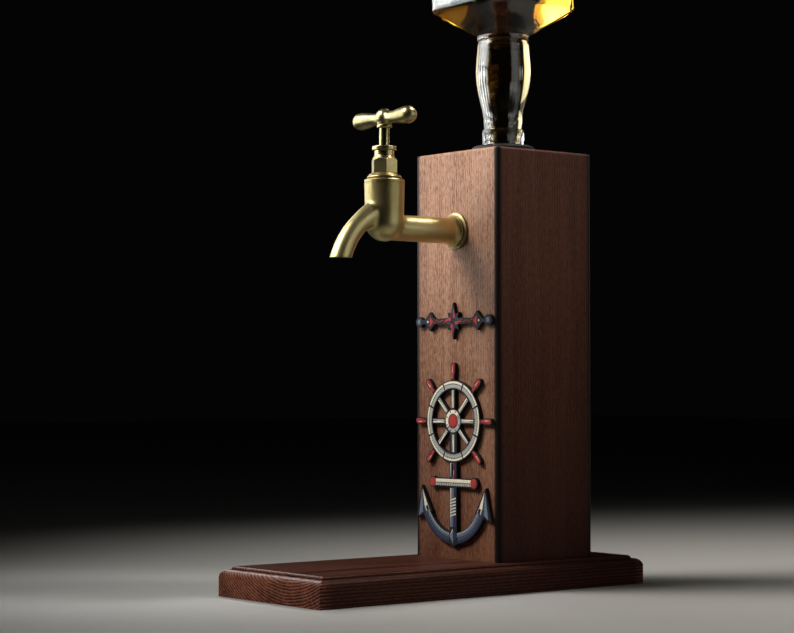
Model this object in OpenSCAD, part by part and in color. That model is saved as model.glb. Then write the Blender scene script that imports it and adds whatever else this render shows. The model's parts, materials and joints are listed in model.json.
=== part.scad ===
// Countertop spirit dispenser: a moulded base plank, a hollow wooden column, a brass bib tap
// and a square bottle that stands neck down in the column's top.
// Sizes are in millimetres. Z is up, the tap points along -Y and the base stands on Z = 0.

/* [Base plank] */
// Width of the base
base_w = 120; // [114:1:160]
// Thickness of the base
base_t = 21.2; // [18:0.1:30]
// Length of the base ahead of the column
front_reach = 168.7; // [150:0.1:220]
// Length of the base behind the column
back_reach = 39.7; // [20:0.1:80]
// Radius of the lower roundover of the moulded edge
round_r = 5.5; // [3:0.1:7]
// Width of the flat ledge of the moulded edge
ledge_w = 1; // [0.4:0.1:2]
// Radius of the upper bead of the moulded edge
bead_r = 2.3; // [1:0.1:4]

/* [Column] */
// Outer width of the square column
col_w = 93; // [88:0.5:104]
// Height of the column above the base
col_h = 300; // [280:1:360]
// Thickness of each mitred board
board_t = 15; // [12:0.5:17]
// Radius on the upright edges
col_edge_r = 2.7; // [0.5:0.1:5]
// Radius on the top edges
top_edge_r = 2.2; // [0.5:0.1:4]
// Thickness of the block in the column's top
top_block_t = 20; // [16:0.5:24]
// Height of the block in the column's foot
foot_block_h = 40; // [30:1:60]

/* [Base screws] */
// Distance between screws, both ways
screw_pitch = 40; // [30:1:44]
// Shank diameter
screw_d = 4.5; // [3.5:0.1:6]
// Head diameter
screw_head_d = 9; // [8:0.1:12]
// Length of a screw
screw_l = 46; // [38:1:54]
// Depth of the head under the base
screw_sink = 1; // [0.5:0.1:3]
// Depth of the driver slot
screw_slot_h = 1; // [0.5:0.1:1.5]
// Width of the driver slot
screw_slot_w = 1.2; // [0.8:0.1:1.6]

/* [Bottle] */
// Width across the square body's flats
bottle_w = 85; // [78:0.5:92]
// Leg of the chamfer on the body's upright edges
bottle_chamfer = 10; // [4:0.5:16]
// Height of the square body
bottle_body_h = 155; // [120:1:200]
// Height of the pyramid shoulder
shoulder_h = 19.5; // [12:0.5:40]
// Wall of the body
bottle_wall = 3.5; // [2:0.1:5]
// Thickness of the bottle's foot
bottle_foot_t = 6; // [4:0.5:10]
// Chamfer round the bottle's foot
heel_c = 2.5; // [1:0.1:4]
// Depth of the hollow in the bottle's foot
punt_h = 3; // [1:0.1:3.5]
// Diameter of the hollow in the bottle's foot
punt_d = 58; // [40:1:70]
// Diameter of the finish that enters the seat
finish_d = 27.6; // [25:0.1:30]
// Length of the finish that enters the seat
finish_h = 20; // [14:0.5:22]
// Bore of the neck at the mouth
mouth_d = 19; // [16:0.5:21]
// Diameter of the transfer ring above the finish
ring_d = 31.6; // [30.6:0.1:34]
// Height of the transfer ring
ring_h = 12; // [6:0.5:14]
// Diameter of the neck just above the transfer ring
neck_low_d = 29.3; // [26:0.1:30.5]
// Diameter of the neck's swelling
neck_swell_d = 41.4; // [36:0.1:46]
// Diameter of the neck under its bead
neck_top_d = 38.6; // [34:0.1:42]
// Diameter of the neck where it starts to swell
neck_flare_d = 31.4; // [30.6:0.1:35]
// Length of the neck from the transfer ring to where it starts to swell
neck_flare_h = 13; // [6:0.5:20]
// Length of the neck from the transfer ring to its swelling
neck_low_h = 43; // [36:0.1:60]
// Length of the neck from its swelling to its bead
neck_top_h = 24.2; // [12:0.1:30]
// Diameter of the bead between neck and shoulder
neck_bead_d = 39.6; // [35:0.1:44]
// Height of the bead between neck and shoulder
neck_bead_h = 3; // [2:0.1:5]
// Wall of the neck
neck_wall = 3.8; // [2.5:0.1:5]

/* [Bottle seat and feed] */
// Diameter of the rubber seat's flange
seat_flange_d = 47; // [45:0.5:56]
// Height of the rubber seat's flange
seat_flange_h = 6.6; // [4:0.1:10]
// Radius on the flange's upper edge
seat_round_r = 2; // [0.5:0.1:3]
// Wall of the rubber sleeve
seat_wall = 3; // [2:0.1:4]
// Length of the rubber sleeve under the flange
seat_sleeve_h = 17; // [15:0.5:20]
// Wall of the feed cup
cup_wall = 1.5; // [1:0.1:2.5]
// Width of the feed cup's rim
cup_rim_w = 2.6; // [2:0.1:3.5]
// Thickness of the feed cup's rim
cup_rim_t = 1.5; // [1:0.1:3]
// Depth of the feed cup's straight part
cup_depth = 22; // [21:0.5:23]
// Outer diameter of the feed cup's spigot
spigot_d = 16; // [14:0.1:17]
// Wall of the feed cup's spigot
spigot_wall = 1.8; // [1.2:0.1:2.5]
// Length of the spigot in the elbow
spigot_in = 11; // [8:0.5:12]
// Thickness of the washer on the elbow
cup_washer_t = 2; // [1:0.1:3]
// Thickness of the spigot's shoulder
cup_shoulder_t = 2; // [1:0.1:3]
// Outer diameter of the elbow's upright socket
elbow_up_d = 22; // [21:0.1:26]
// Outer diameter of the elbow's level socket
elbow_in_d = 27; // [25:0.1:30]
// Height of the elbow's upright socket above the tap's inlet
elbow_rise = 20; // [19:0.5:22]
// Bore of the elbow
elbow_bore_d = 12; // [9:0.5:13]
// Length of tail that the elbow takes
elbow_grip = 8; // [6:0.5:10]

/* [Tap body] */
// Drop from the column's top to the inlet pipe
tap_drop = 59.3; // [57:0.1:75]
// Distance from the column to the valve
tap_reach = 67.2; // [55:0.1:85]
// Diameter of the inlet pipe
pipe_d = 19; // [17:0.1:20]
// Bore of the inlet
pipe_bore_d = 10; // [8:0.5:11]
// Diameter of the bell at the pipe's end
bell_d = 23.4; // [22.8:0.1:25]
// Length of the bell
bell_l = 3.6; // [2:0.1:6]
// Radius on the bell's lip
bell_r = 1; // [0.3:0.1:1.4]
// Diameter of the threaded tail
tail_d = 20.9; // [20:0.1:22]
// Length of tail inside the column
tail_in = 22; // [20:0.5:24]
// Diameter of the valve barrel at its rim
barrel_d = 29; // [28:0.1:33]
// Diameter of the valve barrel at its round bottom
barrel_low_d = 27.8; // [26:0.1:29]
// Height of the barrel's rim above the inlet
barrel_up = 34; // [32:0.1:40]
// Depth of the barrel's round bottom under the inlet
barrel_down = 10.5; // [9.5:0.1:13]
// Height of the bead round the barrel's rim
rim_h = 2.4; // [1:0.1:4]
// Depth of the groove under the rim's bead
rim_groove = 0.4; // [0.2:0.1:0.8]
// Bore of the valve chamber
chamber_d = 21; // [19:0.1:22]
// Height of the chamber's floor above the inlet
floor_up = 7; // [6.5:0.1:9]
// Bore of the valve seat
seat_bore_d = 9; // [8.5:0.1:10]
// Outer diameter of the raised seat
crown_d = 13; // [12:0.1:14]
// Height of the raised seat
crown_h = 1.5; // [0.8:0.1:2]

/* [Spout] */
// Radius of the spout's curve
spout_arc_r = 53; // [48:0.5:60]
// Height of the curve's top above the inlet
spout_rise = 13.8; // [12:0.1:16]
// Distance of the curve's top behind the valve
spout_back = 11.5; // [8:0.1:15]
// Drop of the spout's mouth under the inlet
mouth_drop = 23.2; // [18:0.1:28]
// Diameter at the spout's root
spout_root_d = 22; // [18:0.1:24]
// Diameter at the spout's middle
spout_mid_d = 14.2; // [13.5:0.1:17]
// Diameter at the spout's mouth
spout_mouth_d = 15.4; // [14:0.1:18]
// Bore of the spout
spout_bore_d = 10; // [8:0.1:11]

/* [Tap wall fittings] */
// Diameter of the wall flange
wall_flange_d = 27; // [25:0.1:34]
// Thickness of the wall flange
wall_flange_t = 2.4; // [1.5:0.1:4]
// Radius on the wall flange's edge
wall_flange_r = 0.8; // [0.2:0.1:1.2]
// Width of the back nut across its flats
back_nut_af = 27; // [25:0.5:30]
// Thickness of the back nut
back_nut_t = 6.5; // [5:0.5:8]
// Thickness of the back nut's washer
back_washer_t = 2; // [1:0.5:3]
// Outer diameter of the back nut's washer
back_washer_d = 30; // [28:0.5:34]

/* [Tap head] */
// Thickness of the washer under the bonnet
bonnet_washer_t = 1.2; // [0.8:0.1:2]
// Diameter of the bonnet's collar at the washer
collar_low_d = 25; // [23.5:0.1:27]
// Diameter of the bonnet's collar at the hexagon
collar_top_d = 20.4; // [20:0.1:23]
// Height of the bonnet's collar
collar_h = 3.3; // [2:0.1:6]
// Width of the hexagon across its flats
hex_af = 17; // [15:0.1:17.2]
// Height of the hexagon
hex_h = 11.1; // [9:0.1:14]
// Diameter of the hexagon's chamfered top face
hex_top_d = 16; // [14:0.1:16.4]
// Height of the chamfer on the hexagon
hex_chamfer_h = 1.6; // [0.8:0.1:3]
// Diameter of the bonnet's neck
bonnet_neck_d = 13.2; // [12.4:0.1:14]
// Height of the bonnet's neck
bonnet_neck_h = 5.4; // [4.5:0.1:8]
// Length of the bonnet's spigot in the barrel
bonnet_spigot_h = 9; // [6:0.5:10]
// Diameter of the gland nut's ring
gland_d = 17.6; // [15:0.1:20]
// Height of the gland nut's ring
gland_h = 3; // [2:0.1:5]
// Radius on the gland nut's edges
gland_r = 0.7; // [0.2:0.1:0.9]
// Length of the gland nut's nose in the bonnet
gland_nose_h = 3.5; // [2.5:0.1:4]
// Outer diameter of the gland packing
packing_d = 10.4; // [10:0.1:11]
// Height of the gland packing
packing_h = 4; // [2.5:0.1:4.5]

/* [Spindle and handle] */
// Diameter of the spindle's rod
spindle_d = 7.6; // [6.5:0.1:8.4]
// Diameter of the spindle's threaded foot
spindle_foot_d = 9.8; // [9.4:0.1:11]
// Length of the spindle's threaded foot
spindle_foot_h = 22; // [18:0.1:23]
// Rise of the thread in one turn
thread_lead = 3; // [2:0.1:3.4]
// Turns from shut to full open
open_turns = 1.5; // [1:0.1:1.6]
// Length of rod that shows between gland nut and handle
spindle_show = 13.3; // [8:0.1:20]
// Diameter of the handle's hub
hub_d = 13; // [12:0.1:15]
// Height of the handle's hub
hub_h = 14; // [12.6:0.1:18]
// Diameter of the hub's foot
hub_foot_d = 11; // [10.6:0.1:11.8]
// Thickness of the hub above the spindle's end
hub_cap_t = 4; // [2.5:0.1:5]
// Distance between the centres of the handle's round ends
handle_span = 54.5; // [44:0.5:70]
// Diameter of the handle's round ends
handle_end_d = 12.6; // [10:0.1:14]
// Diameter of the handle's arms at the hub
handle_arm_d = 7.6; // [6:0.1:9]
// Diameter of the grub screw
grub_d = 4; // [3:0.1:4.4]
// Length of the grub screw
grub_l = 1.8; // [1:0.1:2]

/* [Valve] */
// Diameter of the tap washer
tap_washer_d = 13; // [12:0.1:14]
// Thickness of the tap washer
tap_washer_t = 3.2; // [2:0.1:4]
// Diameter of the jumper's plate
jumper_d = 14; // [12:0.1:16]
// Thickness of the jumper's plate
jumper_t = 2.5; // [1.5:0.1:3]
// Diameter of the jumper's stem
stem_d = 4; // [3:0.1:5]
// Length of the jumper's stem in the spindle
stem_l = 10; // [6:0.1:12]
// Width of the washer nut across its flats
washer_nut_af = 6.5; // [6:0.1:7]
// Thickness of the washer nut
washer_nut_t = 2.4; // [2:0.1:3]

/* [Emblem and ornament] */
// Thickness of the cut-outs on the front
emblem_t = 3; // [1.5:0.1:5]
// Height of the emblem's lowest point above the base
emblem_up = 9; // [4:0.5:14]
// Radius over the wheel's handles
wheel_r = 43; // [38:0.5:44]
// Outer radius of the wheel's rim
rim_r = 30; // [26:0.5:32]
// Width of the wheel's rim
rim_w = 6.5; // [4:0.5:8]
// Radius of the wheel's hub
wheel_hub_r = 9; // [7:0.5:11]
// Width of a spoke
spoke_w = 4; // [3:0.5:5]
// Number of spokes
spokes = 8; // [6:1:10]
// Height of the wheel's centre above the emblem's lowest point
wheel_up = 92; // [88:0.5:96]
// Radius of the anchor's arms
anchor_r = 38; // [34:0.5:42]
// Width of the anchor's arms
arm_w = 8.5; // [6:0.5:10]
// Width of the anchor's shank
shank_w = 8; // [6:0.5:10]
// Length of the anchor's stock
stock_l = 46; // [36:1:56]
// Width of the anchor's stock
stock_w = 6.5; // [5:0.5:8]
// Height of the anchor's stock above the emblem's lowest point
stock_up = 47; // [45:0.5:50]
// Height of the ornament's centre above the base
ornament_up = 174.5; // [165:0.5:185]
// Length of the ornament
ornament_l = 86; // [70:1:88]
// Radius of the ornament's star
star_r = 13.5; // [10:0.5:16]

/* [Clearances] */
// Radial gap of turning and sliding fits
run_gap = 0.05; // [0.02:0.01:0.1]
// Radial gap of the fixed fits
fit_gap = 0.05; // [0.02:0.01:0.1]
// Radial gap of holes that bolts and pipes pass through
hole_gap = 0.3; // [0.1:0.05:0.5]
// Radial gap between the bottle's finish and the rubber seat
neck_gap = 0.3; // [0.1:0.05:0.5]
// Gap under the bottle's transfer ring
seat_gap = 0.1; // [0.05:0.05:0.3]
// Gap between the shut tap washer and its seat
shut_gap = 0.1; // [0.05:0.05:0.2]
// Gap between the spindle's foot and its stop when the tap is full open
stop_gap = 0.4; // [0.2:0.1:1]

/* [Hidden] */
$fn = 64;

// Length added to a cutter so that it passes the face that it cuts
over = 1;

base_l = front_reach + col_w + back_reach;
face_y = front_reach - base_l / 2;
col_y = face_y + col_w / 2;
col_top = base_t + col_h;
inner_w = col_w - 2 * board_t;

tap_z = col_top - tap_drop;
tap_y = face_y - tap_reach;

// Heights of the tap, counted from the inlet pipe's axis
crown_z = floor_up + crown_h;
washer_z = crown_z + shut_gap;
plate_z = washer_z + tap_washer_t;
foot_z = plate_z + jumper_t + run_gap;
foot_top_z = foot_z + spindle_foot_h;
open_lift = thread_lead * open_turns;
collar_z = barrel_up + bonnet_washer_t;
hex_z = collar_z + collar_h;
hex_top_z = hex_z + hex_h;
gland_z = hex_top_z + bonnet_neck_h;
packing_z = gland_z - packing_h - gland_nose_h;
hub_z = gland_z + gland_h + spindle_show;
bar_z = hub_z + hub_h / 2;

// Radii of the feed's fits
seat_bore_r = finish_d / 2 + neck_gap;
seat_sleeve_r = seat_bore_r + seat_wall;
cup_in_r = seat_sleeve_r + fit_gap;
cup_r = cup_in_r + cup_wall;
cup_rim_r = cup_r + cup_rim_w;
elbow_top_z = tap_z + elbow_rise;
shoulder_z = elbow_top_z + cup_washer_t;

// Heights of the bottle
bottle_z = col_top + seat_flange_h + seat_gap;
flare_z = ring_h + neck_flare_h;
swell_z = ring_h + neck_low_h;
bead_z = swell_z + neck_top_h;
shoulder_low_z = bead_z + neck_bead_h;
body_low_z = shoulder_low_z + shoulder_h;
bottle_h = body_low_z + bottle_body_h;

// A quarter-turn curve from 0 to 1 that starts and ends level
function ease(t) = (1 - cos(180 * t)) / 2;

// A rectangle with its lower edge on the X axis and its upper corners rounded
module arched(w, h, r) {
    translate([-w / 2, 0]) square([w, h - r]);
    translate([r - w / 2, 0]) square([w - 2 * r, h]);
    for (s = [-1, 1]) translate([s * (w / 2 - r), h - r]) circle(r);
}

// A square about the origin with rounded corners
module rounded_square(w, r) {
    square([w, w - 2 * r], center = true);
    square([w - 2 * r, w], center = true);
    for (x = [-1, 1], y = [-1, 1]) translate([x * (w / 2 - r), y * (w / 2 - r)]) circle(r);
}

// A square about the origin with chamfered corners
module chamfered_square(w, c) {
    h = w / 2;
    polygon([[h, c - h], [h, h - c], [h - c, h], [c - h, h], [-h, h - c], [-h, c - h], [c - h, -h], [h - c, -h]]);
}

// A ring between two radii, from height z up
module tube(r_out, r_in, z, h) {
    translate([0, 0, z]) rotate_extrude() translate([r_in, 0]) square([r_out - r_in, h]);
}

// Puts a shape with its axis on Z at the tap's valve axis
module at_valve() {
    translate([0, tap_y, tap_z]) children();
}

// Puts a shape with its axis on Z along the inlet pipe, with Z = 0 at the wall and Z to the back
module at_wall() {
    translate([0, face_y, tap_z]) rotate([-90, 0, 0]) children();
}

// Puts a flat outline on the column's front, with its Y as height above the base
module on_front() {
    translate([0, face_y, base_t]) rotate([90, 0, 0]) linear_extrude(emblem_t) children();
}

module at_screws() {
    for (x = [-1, 1], y = [-1, 1]) translate([x * screw_pitch / 2, col_y + y * screw_pitch / 2, 0]) children();
}

// Base

// The moulded edge's outline across a base of width w
module base_outline(w) {
    top_w = w - 2 * (round_r + ledge_w);
    arched(w, base_t - bead_r, round_r);
    arched(top_w, base_t, bead_r);
}

module base_plank() {
    color("saddlebrown") difference() {
        intersection() {
            translate([0, base_l / 2, 0]) rotate([90, 0, 0]) linear_extrude(base_l) base_outline(base_w);
            translate([-base_w / 2, 0, 0]) rotate([90, 0, 90]) linear_extrude(base_w) base_outline(base_l);
        }
        at_screws() {
            translate([0, 0, -over]) cylinder(d = screw_d + 2 * hole_gap, h = base_t + 2 * over);
            translate([0, 0, -over]) cylinder(d = screw_head_d + 2 * hole_gap, h = screw_sink + over);
            translate([0, 0, screw_sink]) cylinder(d1 = screw_head_d + 2 * hole_gap, d2 = screw_d + 2 * hole_gap,
                h = (screw_head_d - screw_d) / 2);
        }
    }
}

module base_screws() {
    color("silver") at_screws() difference() {
        union() {
            translate([0, 0, screw_sink]) cylinder(d1 = screw_head_d, d2 = screw_d, h = (screw_head_d - screw_d) / 2);
            translate([0, 0, screw_sink]) cylinder(d = screw_d, h = screw_l - screw_d);
            translate([0, 0, screw_sink + screw_l - screw_d]) cylinder(d1 = screw_d, d2 = screw_d / 4, h = screw_d);
        }
        translate([-screw_head_d / 2, -screw_slot_w / 2, screw_sink - over])
            cube([screw_head_d, screw_slot_w, screw_slot_h + over]);
    }
}

// Column

// The column's outer form, with its foot on Z = 0
module column_form() {
    intersection() {
        linear_extrude(col_h) rounded_square(col_w, col_edge_r);
        translate([0, col_w / 2, 0]) rotate([90, 0, 0]) linear_extrude(col_w) arched(col_w, col_h, top_edge_r);
        translate([-col_w / 2, 0, 0]) rotate([90, 0, 90]) linear_extrude(col_w) arched(col_w, col_h, top_edge_r);
    }
}

// One mitred board, turned from the front to its side
module column_board(turn) {
    translate([0, col_y, base_t]) intersection() {
        column_form();
        rotate([0, 0, turn]) linear_extrude(col_h)
            polygon([[-col_w / 2, -col_w / 2], [col_w / 2, -col_w / 2], [inner_w / 2, -inner_w / 2], [-inner_w / 2, -inner_w / 2]]);
    }
}

module column_front() {
    color("sienna") difference() {
        column_board(0);
        at_wall() translate([0, 0, -over]) cylinder(d = tail_d + 2 * hole_gap, h = board_t + 2 * over);
    }
}

module column_right() {
    color("peru") column_board(90);
}

module column_back() {
    color("sienna") column_board(180);
}

module column_left() {
    color("peru") column_board(270);
}

module column_top_block() {
    color("burlywood") translate([0, col_y, 0]) difference() {
        translate([-inner_w / 2, -inner_w / 2, col_top - top_block_t]) cube([inner_w, inner_w, top_block_t]);
        translate([0, 0, col_top - top_block_t - over]) cylinder(r = cup_r + fit_gap, h = top_block_t + 2 * over);
        translate([0, 0, col_top - cup_rim_t]) cylinder(r = cup_rim_r + fit_gap, h = cup_rim_t + over);
    }
}

module column_foot_block() {
    color("tan") difference() {
        translate([-inner_w / 2, col_y - inner_w / 2, base_t]) cube([inner_w, inner_w, foot_block_h]);
        at_screws() translate([0, 0, base_t - over]) cylinder(d = screw_d + 2 * fit_gap, h = screw_sink + screw_l + 2 * over - base_t);
    }
}

// Emblem and ornament on the front

// One turned handle of the wheel, pointing along Y from the rim
module wheel_handle_2d() {
    grip_l = wheel_r - rim_r;
    polygon([[-1.9, -1], [1.9, -1], [1.9, 0.8], [1.4, 2], [2.6, grip_l * 0.55], [2.4, grip_l - 2.4],
        [-2.4, grip_l - 2.4], [-2.6, grip_l * 0.55], [-1.4, 2], [-1.9, 0.8]]);
    translate([0, grip_l - 2.4]) circle(2.4);
}

module wheel_2d() {
    difference() {
        circle(rim_r);
        circle(rim_r - rim_w);
    }
    circle(wheel_hub_r);
    for (i = [0 : spokes - 1]) rotate(i * 360 / spokes) {
        translate([-spoke_w / 2, wheel_hub_r - 1]) square([spoke_w, rim_r - rim_w - wheel_hub_r + 2]);
        translate([0, rim_r]) wheel_handle_2d();
    }
}

// Corners of the fluke on side s of the anchor
function fluke_foot(s) = [s * (anchor_r + 4.5), anchor_r * 0.52];
function fluke_tip(s) = [s * (anchor_r - 2), anchor_r * 1.16];
function fluke_heel(s) = [s * (anchor_r - 14), anchor_r * 0.66];

// The anchor's curved arms and their flukes, with the crown's point at the origin
module anchor_arms_2d() {
    intersection() {
        translate([0, anchor_r + 2]) difference() {
            circle(anchor_r);
            circle(anchor_r - arm_w);
        }
        translate([-anchor_r, 0]) square([2 * anchor_r, anchor_r * 0.62]);
    }
    polygon([fluke_foot(1), fluke_tip(1), fluke_heel(1)]);
    polygon([fluke_heel(-1), fluke_tip(-1), fluke_foot(-1)]);
    polygon([[-arm_w, 4], [0, 0], [arm_w, 4], [0, arm_w + 4]]);
}

module emblem_2d() {
    translate([0, wheel_up]) wheel_2d();
    translate([-shank_w / 2, arm_w / 2]) square([shank_w, wheel_up - arm_w / 2]);
    translate([-stock_l / 2, stock_up - stock_w / 2]) square([stock_l, stock_w]);
    for (s = [-1, 1]) translate([s * stock_l / 2, stock_up]) circle(stock_w * 0.66);
    anchor_arms_2d();
}

module emblem_plate() {
    color("midnightblue") on_front() translate([0, emblem_up]) emblem_2d();
}

// A star with n points
module star_2d(n, r_out, r_in) {
    polygon([for (i = [0 : 2 * n - 1]) (i % 2 == 0 ? r_out : r_in) * [-sin(180 * i / n), cos(180 * i / n)]]);
}

module ornament_2d() {
    end = ornament_l / 2;
    star_2d(4, star_r, star_r * 0.32);
    rotate(45) star_2d(4, star_r * 0.66, star_r * 0.32);
    for (turn = [0, 180]) rotate(turn) {
        polygon([[0, -2.6], [end - 4, -1.4], [end - 4, 1.4], [0, 2.6]]);
        translate([end - 4, 0]) circle(4);
        translate([end * 0.62, 0]) rotate(45) square(star_r * 0.74, center = true);
    }
}

module ornament_plate() {
    color("black") on_front() translate([0, ornament_up]) ornament_2d();
}

// Bottle seat and feed

module neck_seat() {
    color("dimgray") translate([0, col_y, col_top]) difference() {
        union() {
            rotate_extrude() intersection() {
                arched(seat_flange_d, seat_flange_h, seat_round_r);
                square([seat_flange_d, seat_flange_h]);
            }
            translate([0, 0, -seat_sleeve_h]) cylinder(r = seat_sleeve_r, h = seat_sleeve_h);
        }
        translate([0, 0, -seat_sleeve_h - over]) cylinder(r = seat_bore_r, h = seat_sleeve_h + seat_flange_h + 2 * over);
    }
}

module feed_cup() {
    spigot_r = spigot_d / 2;
    cone_low = shoulder_z + cup_shoulder_t;
    straight_low = col_top - cup_depth;
    color("lightsteelblue") translate([0, col_y, 0]) rotate_extrude() difference() {
        polygon([[0, elbow_top_z - spigot_in], [spigot_r, elbow_top_z - spigot_in], [spigot_r, shoulder_z],
            [elbow_up_d / 2, shoulder_z], [elbow_up_d / 2, cone_low], [spigot_r, cone_low],
            [cup_r, straight_low], [cup_r, col_top - cup_rim_t], [cup_rim_r, col_top - cup_rim_t],
            [cup_rim_r, col_top], [0, col_top]]);
        polygon([[0, elbow_top_z - spigot_in - over], [spigot_r - spigot_wall, elbow_top_z - spigot_in - over],
            [spigot_r - spigot_wall, cone_low], [cup_in_r, straight_low + cup_wall], [cup_in_r, col_top + over], [0, col_top + over]]);
    }
}

module cup_washer() {
    color("black") translate([0, col_y, 0]) tube(elbow_up_d / 2, spigot_d / 2 + fit_gap, elbow_top_z, cup_washer_t);
}

// Distance of the tap tail's end behind the wall
tail_end = board_t + tail_in;

module feed_elbow() {
    grip_face = tail_end - elbow_grip;
    color("goldenrod") difference() {
        union() {
            translate([0, col_y, tap_z]) sphere(d = elbow_in_d);
            translate([0, col_y, tap_z]) cylinder(d = elbow_up_d, h = elbow_rise);
            at_wall() translate([0, 0, grip_face]) cylinder(d = elbow_in_d, h = col_w / 2 - grip_face);
        }
        translate([0, col_y, tap_z]) cylinder(d = elbow_bore_d, h = elbow_rise + over);
        translate([0, col_y, elbow_top_z - spigot_in - over]) cylinder(d = spigot_d + 2 * fit_gap, h = spigot_in + 2 * over);
        at_wall() translate([0, 0, grip_face]) cylinder(d = elbow_bore_d, h = col_w / 2 - grip_face);
        at_wall() translate([0, 0, grip_face - over]) cylinder(d = tail_d + 2 * fit_gap, h = elbow_grip + over + fit_gap);
        translate([0, col_y, tap_z]) sphere(d = elbow_bore_d);
    }
}

// Tap body

// Angle on the spout's curve, from its top, of the point that lies f in front of the valve
function spout_angle(f) = asin((f + spout_back) / spout_arc_r);

spout_mouth_a = acos((spout_arc_r - spout_rise - mouth_drop) / spout_arc_r);
spout_root_a = spout_angle(0);
spout_mid_a = (spout_root_a + spout_mouth_a) / 2;
spout_past = 10;

// Radius of the spout's outside at angle a
function spout_r(a) = spout_mid_d / 2
    + (spout_root_d - spout_mid_d) / 2 * pow(max(0, (spout_mid_a - a) / (spout_mid_a - spout_root_a)), 1.6)
    + (spout_mouth_d - spout_mid_d) / 2 * pow(max(0, (a - spout_mid_a) / (spout_mouth_a - spout_mid_a)), 1.6);

// Point on the spout's skin: a along the curve, b round it, in the frame of the valve axis
function spout_point(a, b) = let (q = spout_arc_r + spout_r(a) * cos(b))
    [spout_r(a) * sin(b), spout_back - q * sin(a), spout_rise - spout_arc_r + q * cos(a)];

// The spout's outside, lofted through rings along its curve
module spout_skin(rings = 14, sides = 28) {
    step = (spout_mouth_a + spout_past - spout_root_a) / rings;
    points = [for (i = [0 : rings], j = [0 : sides - 1]) spout_point(spout_root_a + i * step, j * 360 / sides)];
    walls = [for (i = [0 : rings - 1], j = [0 : sides - 1]) let (k = (j + 1) % sides)
        each [[i * sides + j, i * sides + k, (i + 1) * sides + j], [i * sides + k, (i + 1) * sides + k, (i + 1) * sides + j]]];
    ends = [[for (j = [0 : sides - 1]) sides - 1 - j], [for (j = [0 : sides - 1]) rings * sides + j]];
    intersection() {
        polyhedron(points, concat(walls, ends));
        translate([-spout_mouth_d, -spout_arc_r - spout_mouth_d, -mouth_drop]) cube([2 * spout_mouth_d, 2 * spout_arc_r, 2 * spout_arc_r]);
    }
}

// The spout's curved bore, from the chamber's wall past the mouth
module spout_bore() {
    start = spout_angle(chamber_d / 2 - spout_bore_d / 5);
    translate([0, spout_back, spout_rise - spout_arc_r]) rotate([0, -90, 180]) rotate([0, 0, start])
        rotate_extrude(angle = spout_mouth_a + spout_past - start) translate([spout_arc_r, 0]) circle(d = spout_bore_d);
}

// The barrel's outline from its round bottom to its rim
module barrel_2d() {
    low_r = barrel_low_d / 2;
    rim_r = barrel_d / 2;
    round_z = low_r - barrel_down;
    groove_z = barrel_up - rim_h;
    intersection() {
        translate([0, round_z]) circle(low_r);
        translate([0, -barrel_down]) square([low_r, low_r]);
    }
    polygon([[0, round_z], [low_r, round_z], [rim_r, groove_z - rim_groove], [rim_r - rim_groove, groove_z],
        [rim_r, groove_z + rim_groove], [rim_r, barrel_up - rim_groove], [rim_r - rim_groove, barrel_up], [0, barrel_up]]);
}

// The inlet pipe with its bell end and threaded tail, from the valve axis to the tail's end
module inlet_2d() {
    bell_z = -wall_flange_t;
    polygon([[0, -tap_reach], [pipe_d / 2, -tap_reach], [pipe_d / 2, bell_z - bell_l], [bell_d / 2 - bell_r, bell_z - 2 * bell_r],
        [bell_d / 2 - bell_r, bell_z], [tail_d / 2, bell_z], [tail_d / 2, tail_end], [0, tail_end]]);
    translate([bell_d / 2 - bell_r, bell_z - bell_r]) circle(bell_r);
}

module tap_body() {
    color("darkkhaki") difference() {
        union() {
            at_valve() rotate_extrude() barrel_2d();
            at_wall() rotate_extrude() inlet_2d();
            at_valve() spout_skin();
        }
        at_wall() translate([0, 0, -tap_reach]) cylinder(d = pipe_bore_d, h = tap_reach + tail_end + over);
        at_valve() {
            sphere(d = pipe_bore_d);
            cylinder(d = seat_bore_d, h = crown_z + over);
            difference() {
                translate([0, 0, floor_up]) cylinder(d = chamber_d, h = barrel_up - floor_up + over);
                tube(crown_d / 2, seat_bore_d / 2, floor_up - over, crown_h + over);
            }
            spout_bore();
        }
    }
}

module wall_flange() {
    edge = wall_flange_d / 2 - wall_flange_r;
    color("gold") at_wall() rotate_extrude() difference() {
        union() {
            translate([0, -wall_flange_t]) square([edge, wall_flange_t]);
            translate([0, wall_flange_r - wall_flange_t]) square([wall_flange_d / 2, wall_flange_t - wall_flange_r]);
            translate([edge, wall_flange_r - wall_flange_t]) circle(wall_flange_r);
        }
        translate([0, -wall_flange_t - over]) square([tail_d / 2 + hole_gap, wall_flange_t + 2 * over]);
    }
}

module back_washer() {
    color("dimgray") at_wall() tube(back_washer_d / 2, tail_d / 2 + hole_gap, board_t, back_washer_t);
}

module back_nut() {
    color("darkgoldenrod") at_wall() difference() {
        translate([0, 0, board_t + back_washer_t]) cylinder(d = back_nut_af / cos(30), h = back_nut_t, $fn = 6);
        translate([0, 0, board_t]) cylinder(d = tail_d + 2 * fit_gap, h = back_washer_t + back_nut_t + over);
    }
}

// Tap head

module bonnet_washer() {
    color("firebrick") at_valve() tube(collar_low_d / 2, chamber_d / 2, barrel_up, bonnet_washer_t);
}

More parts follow.
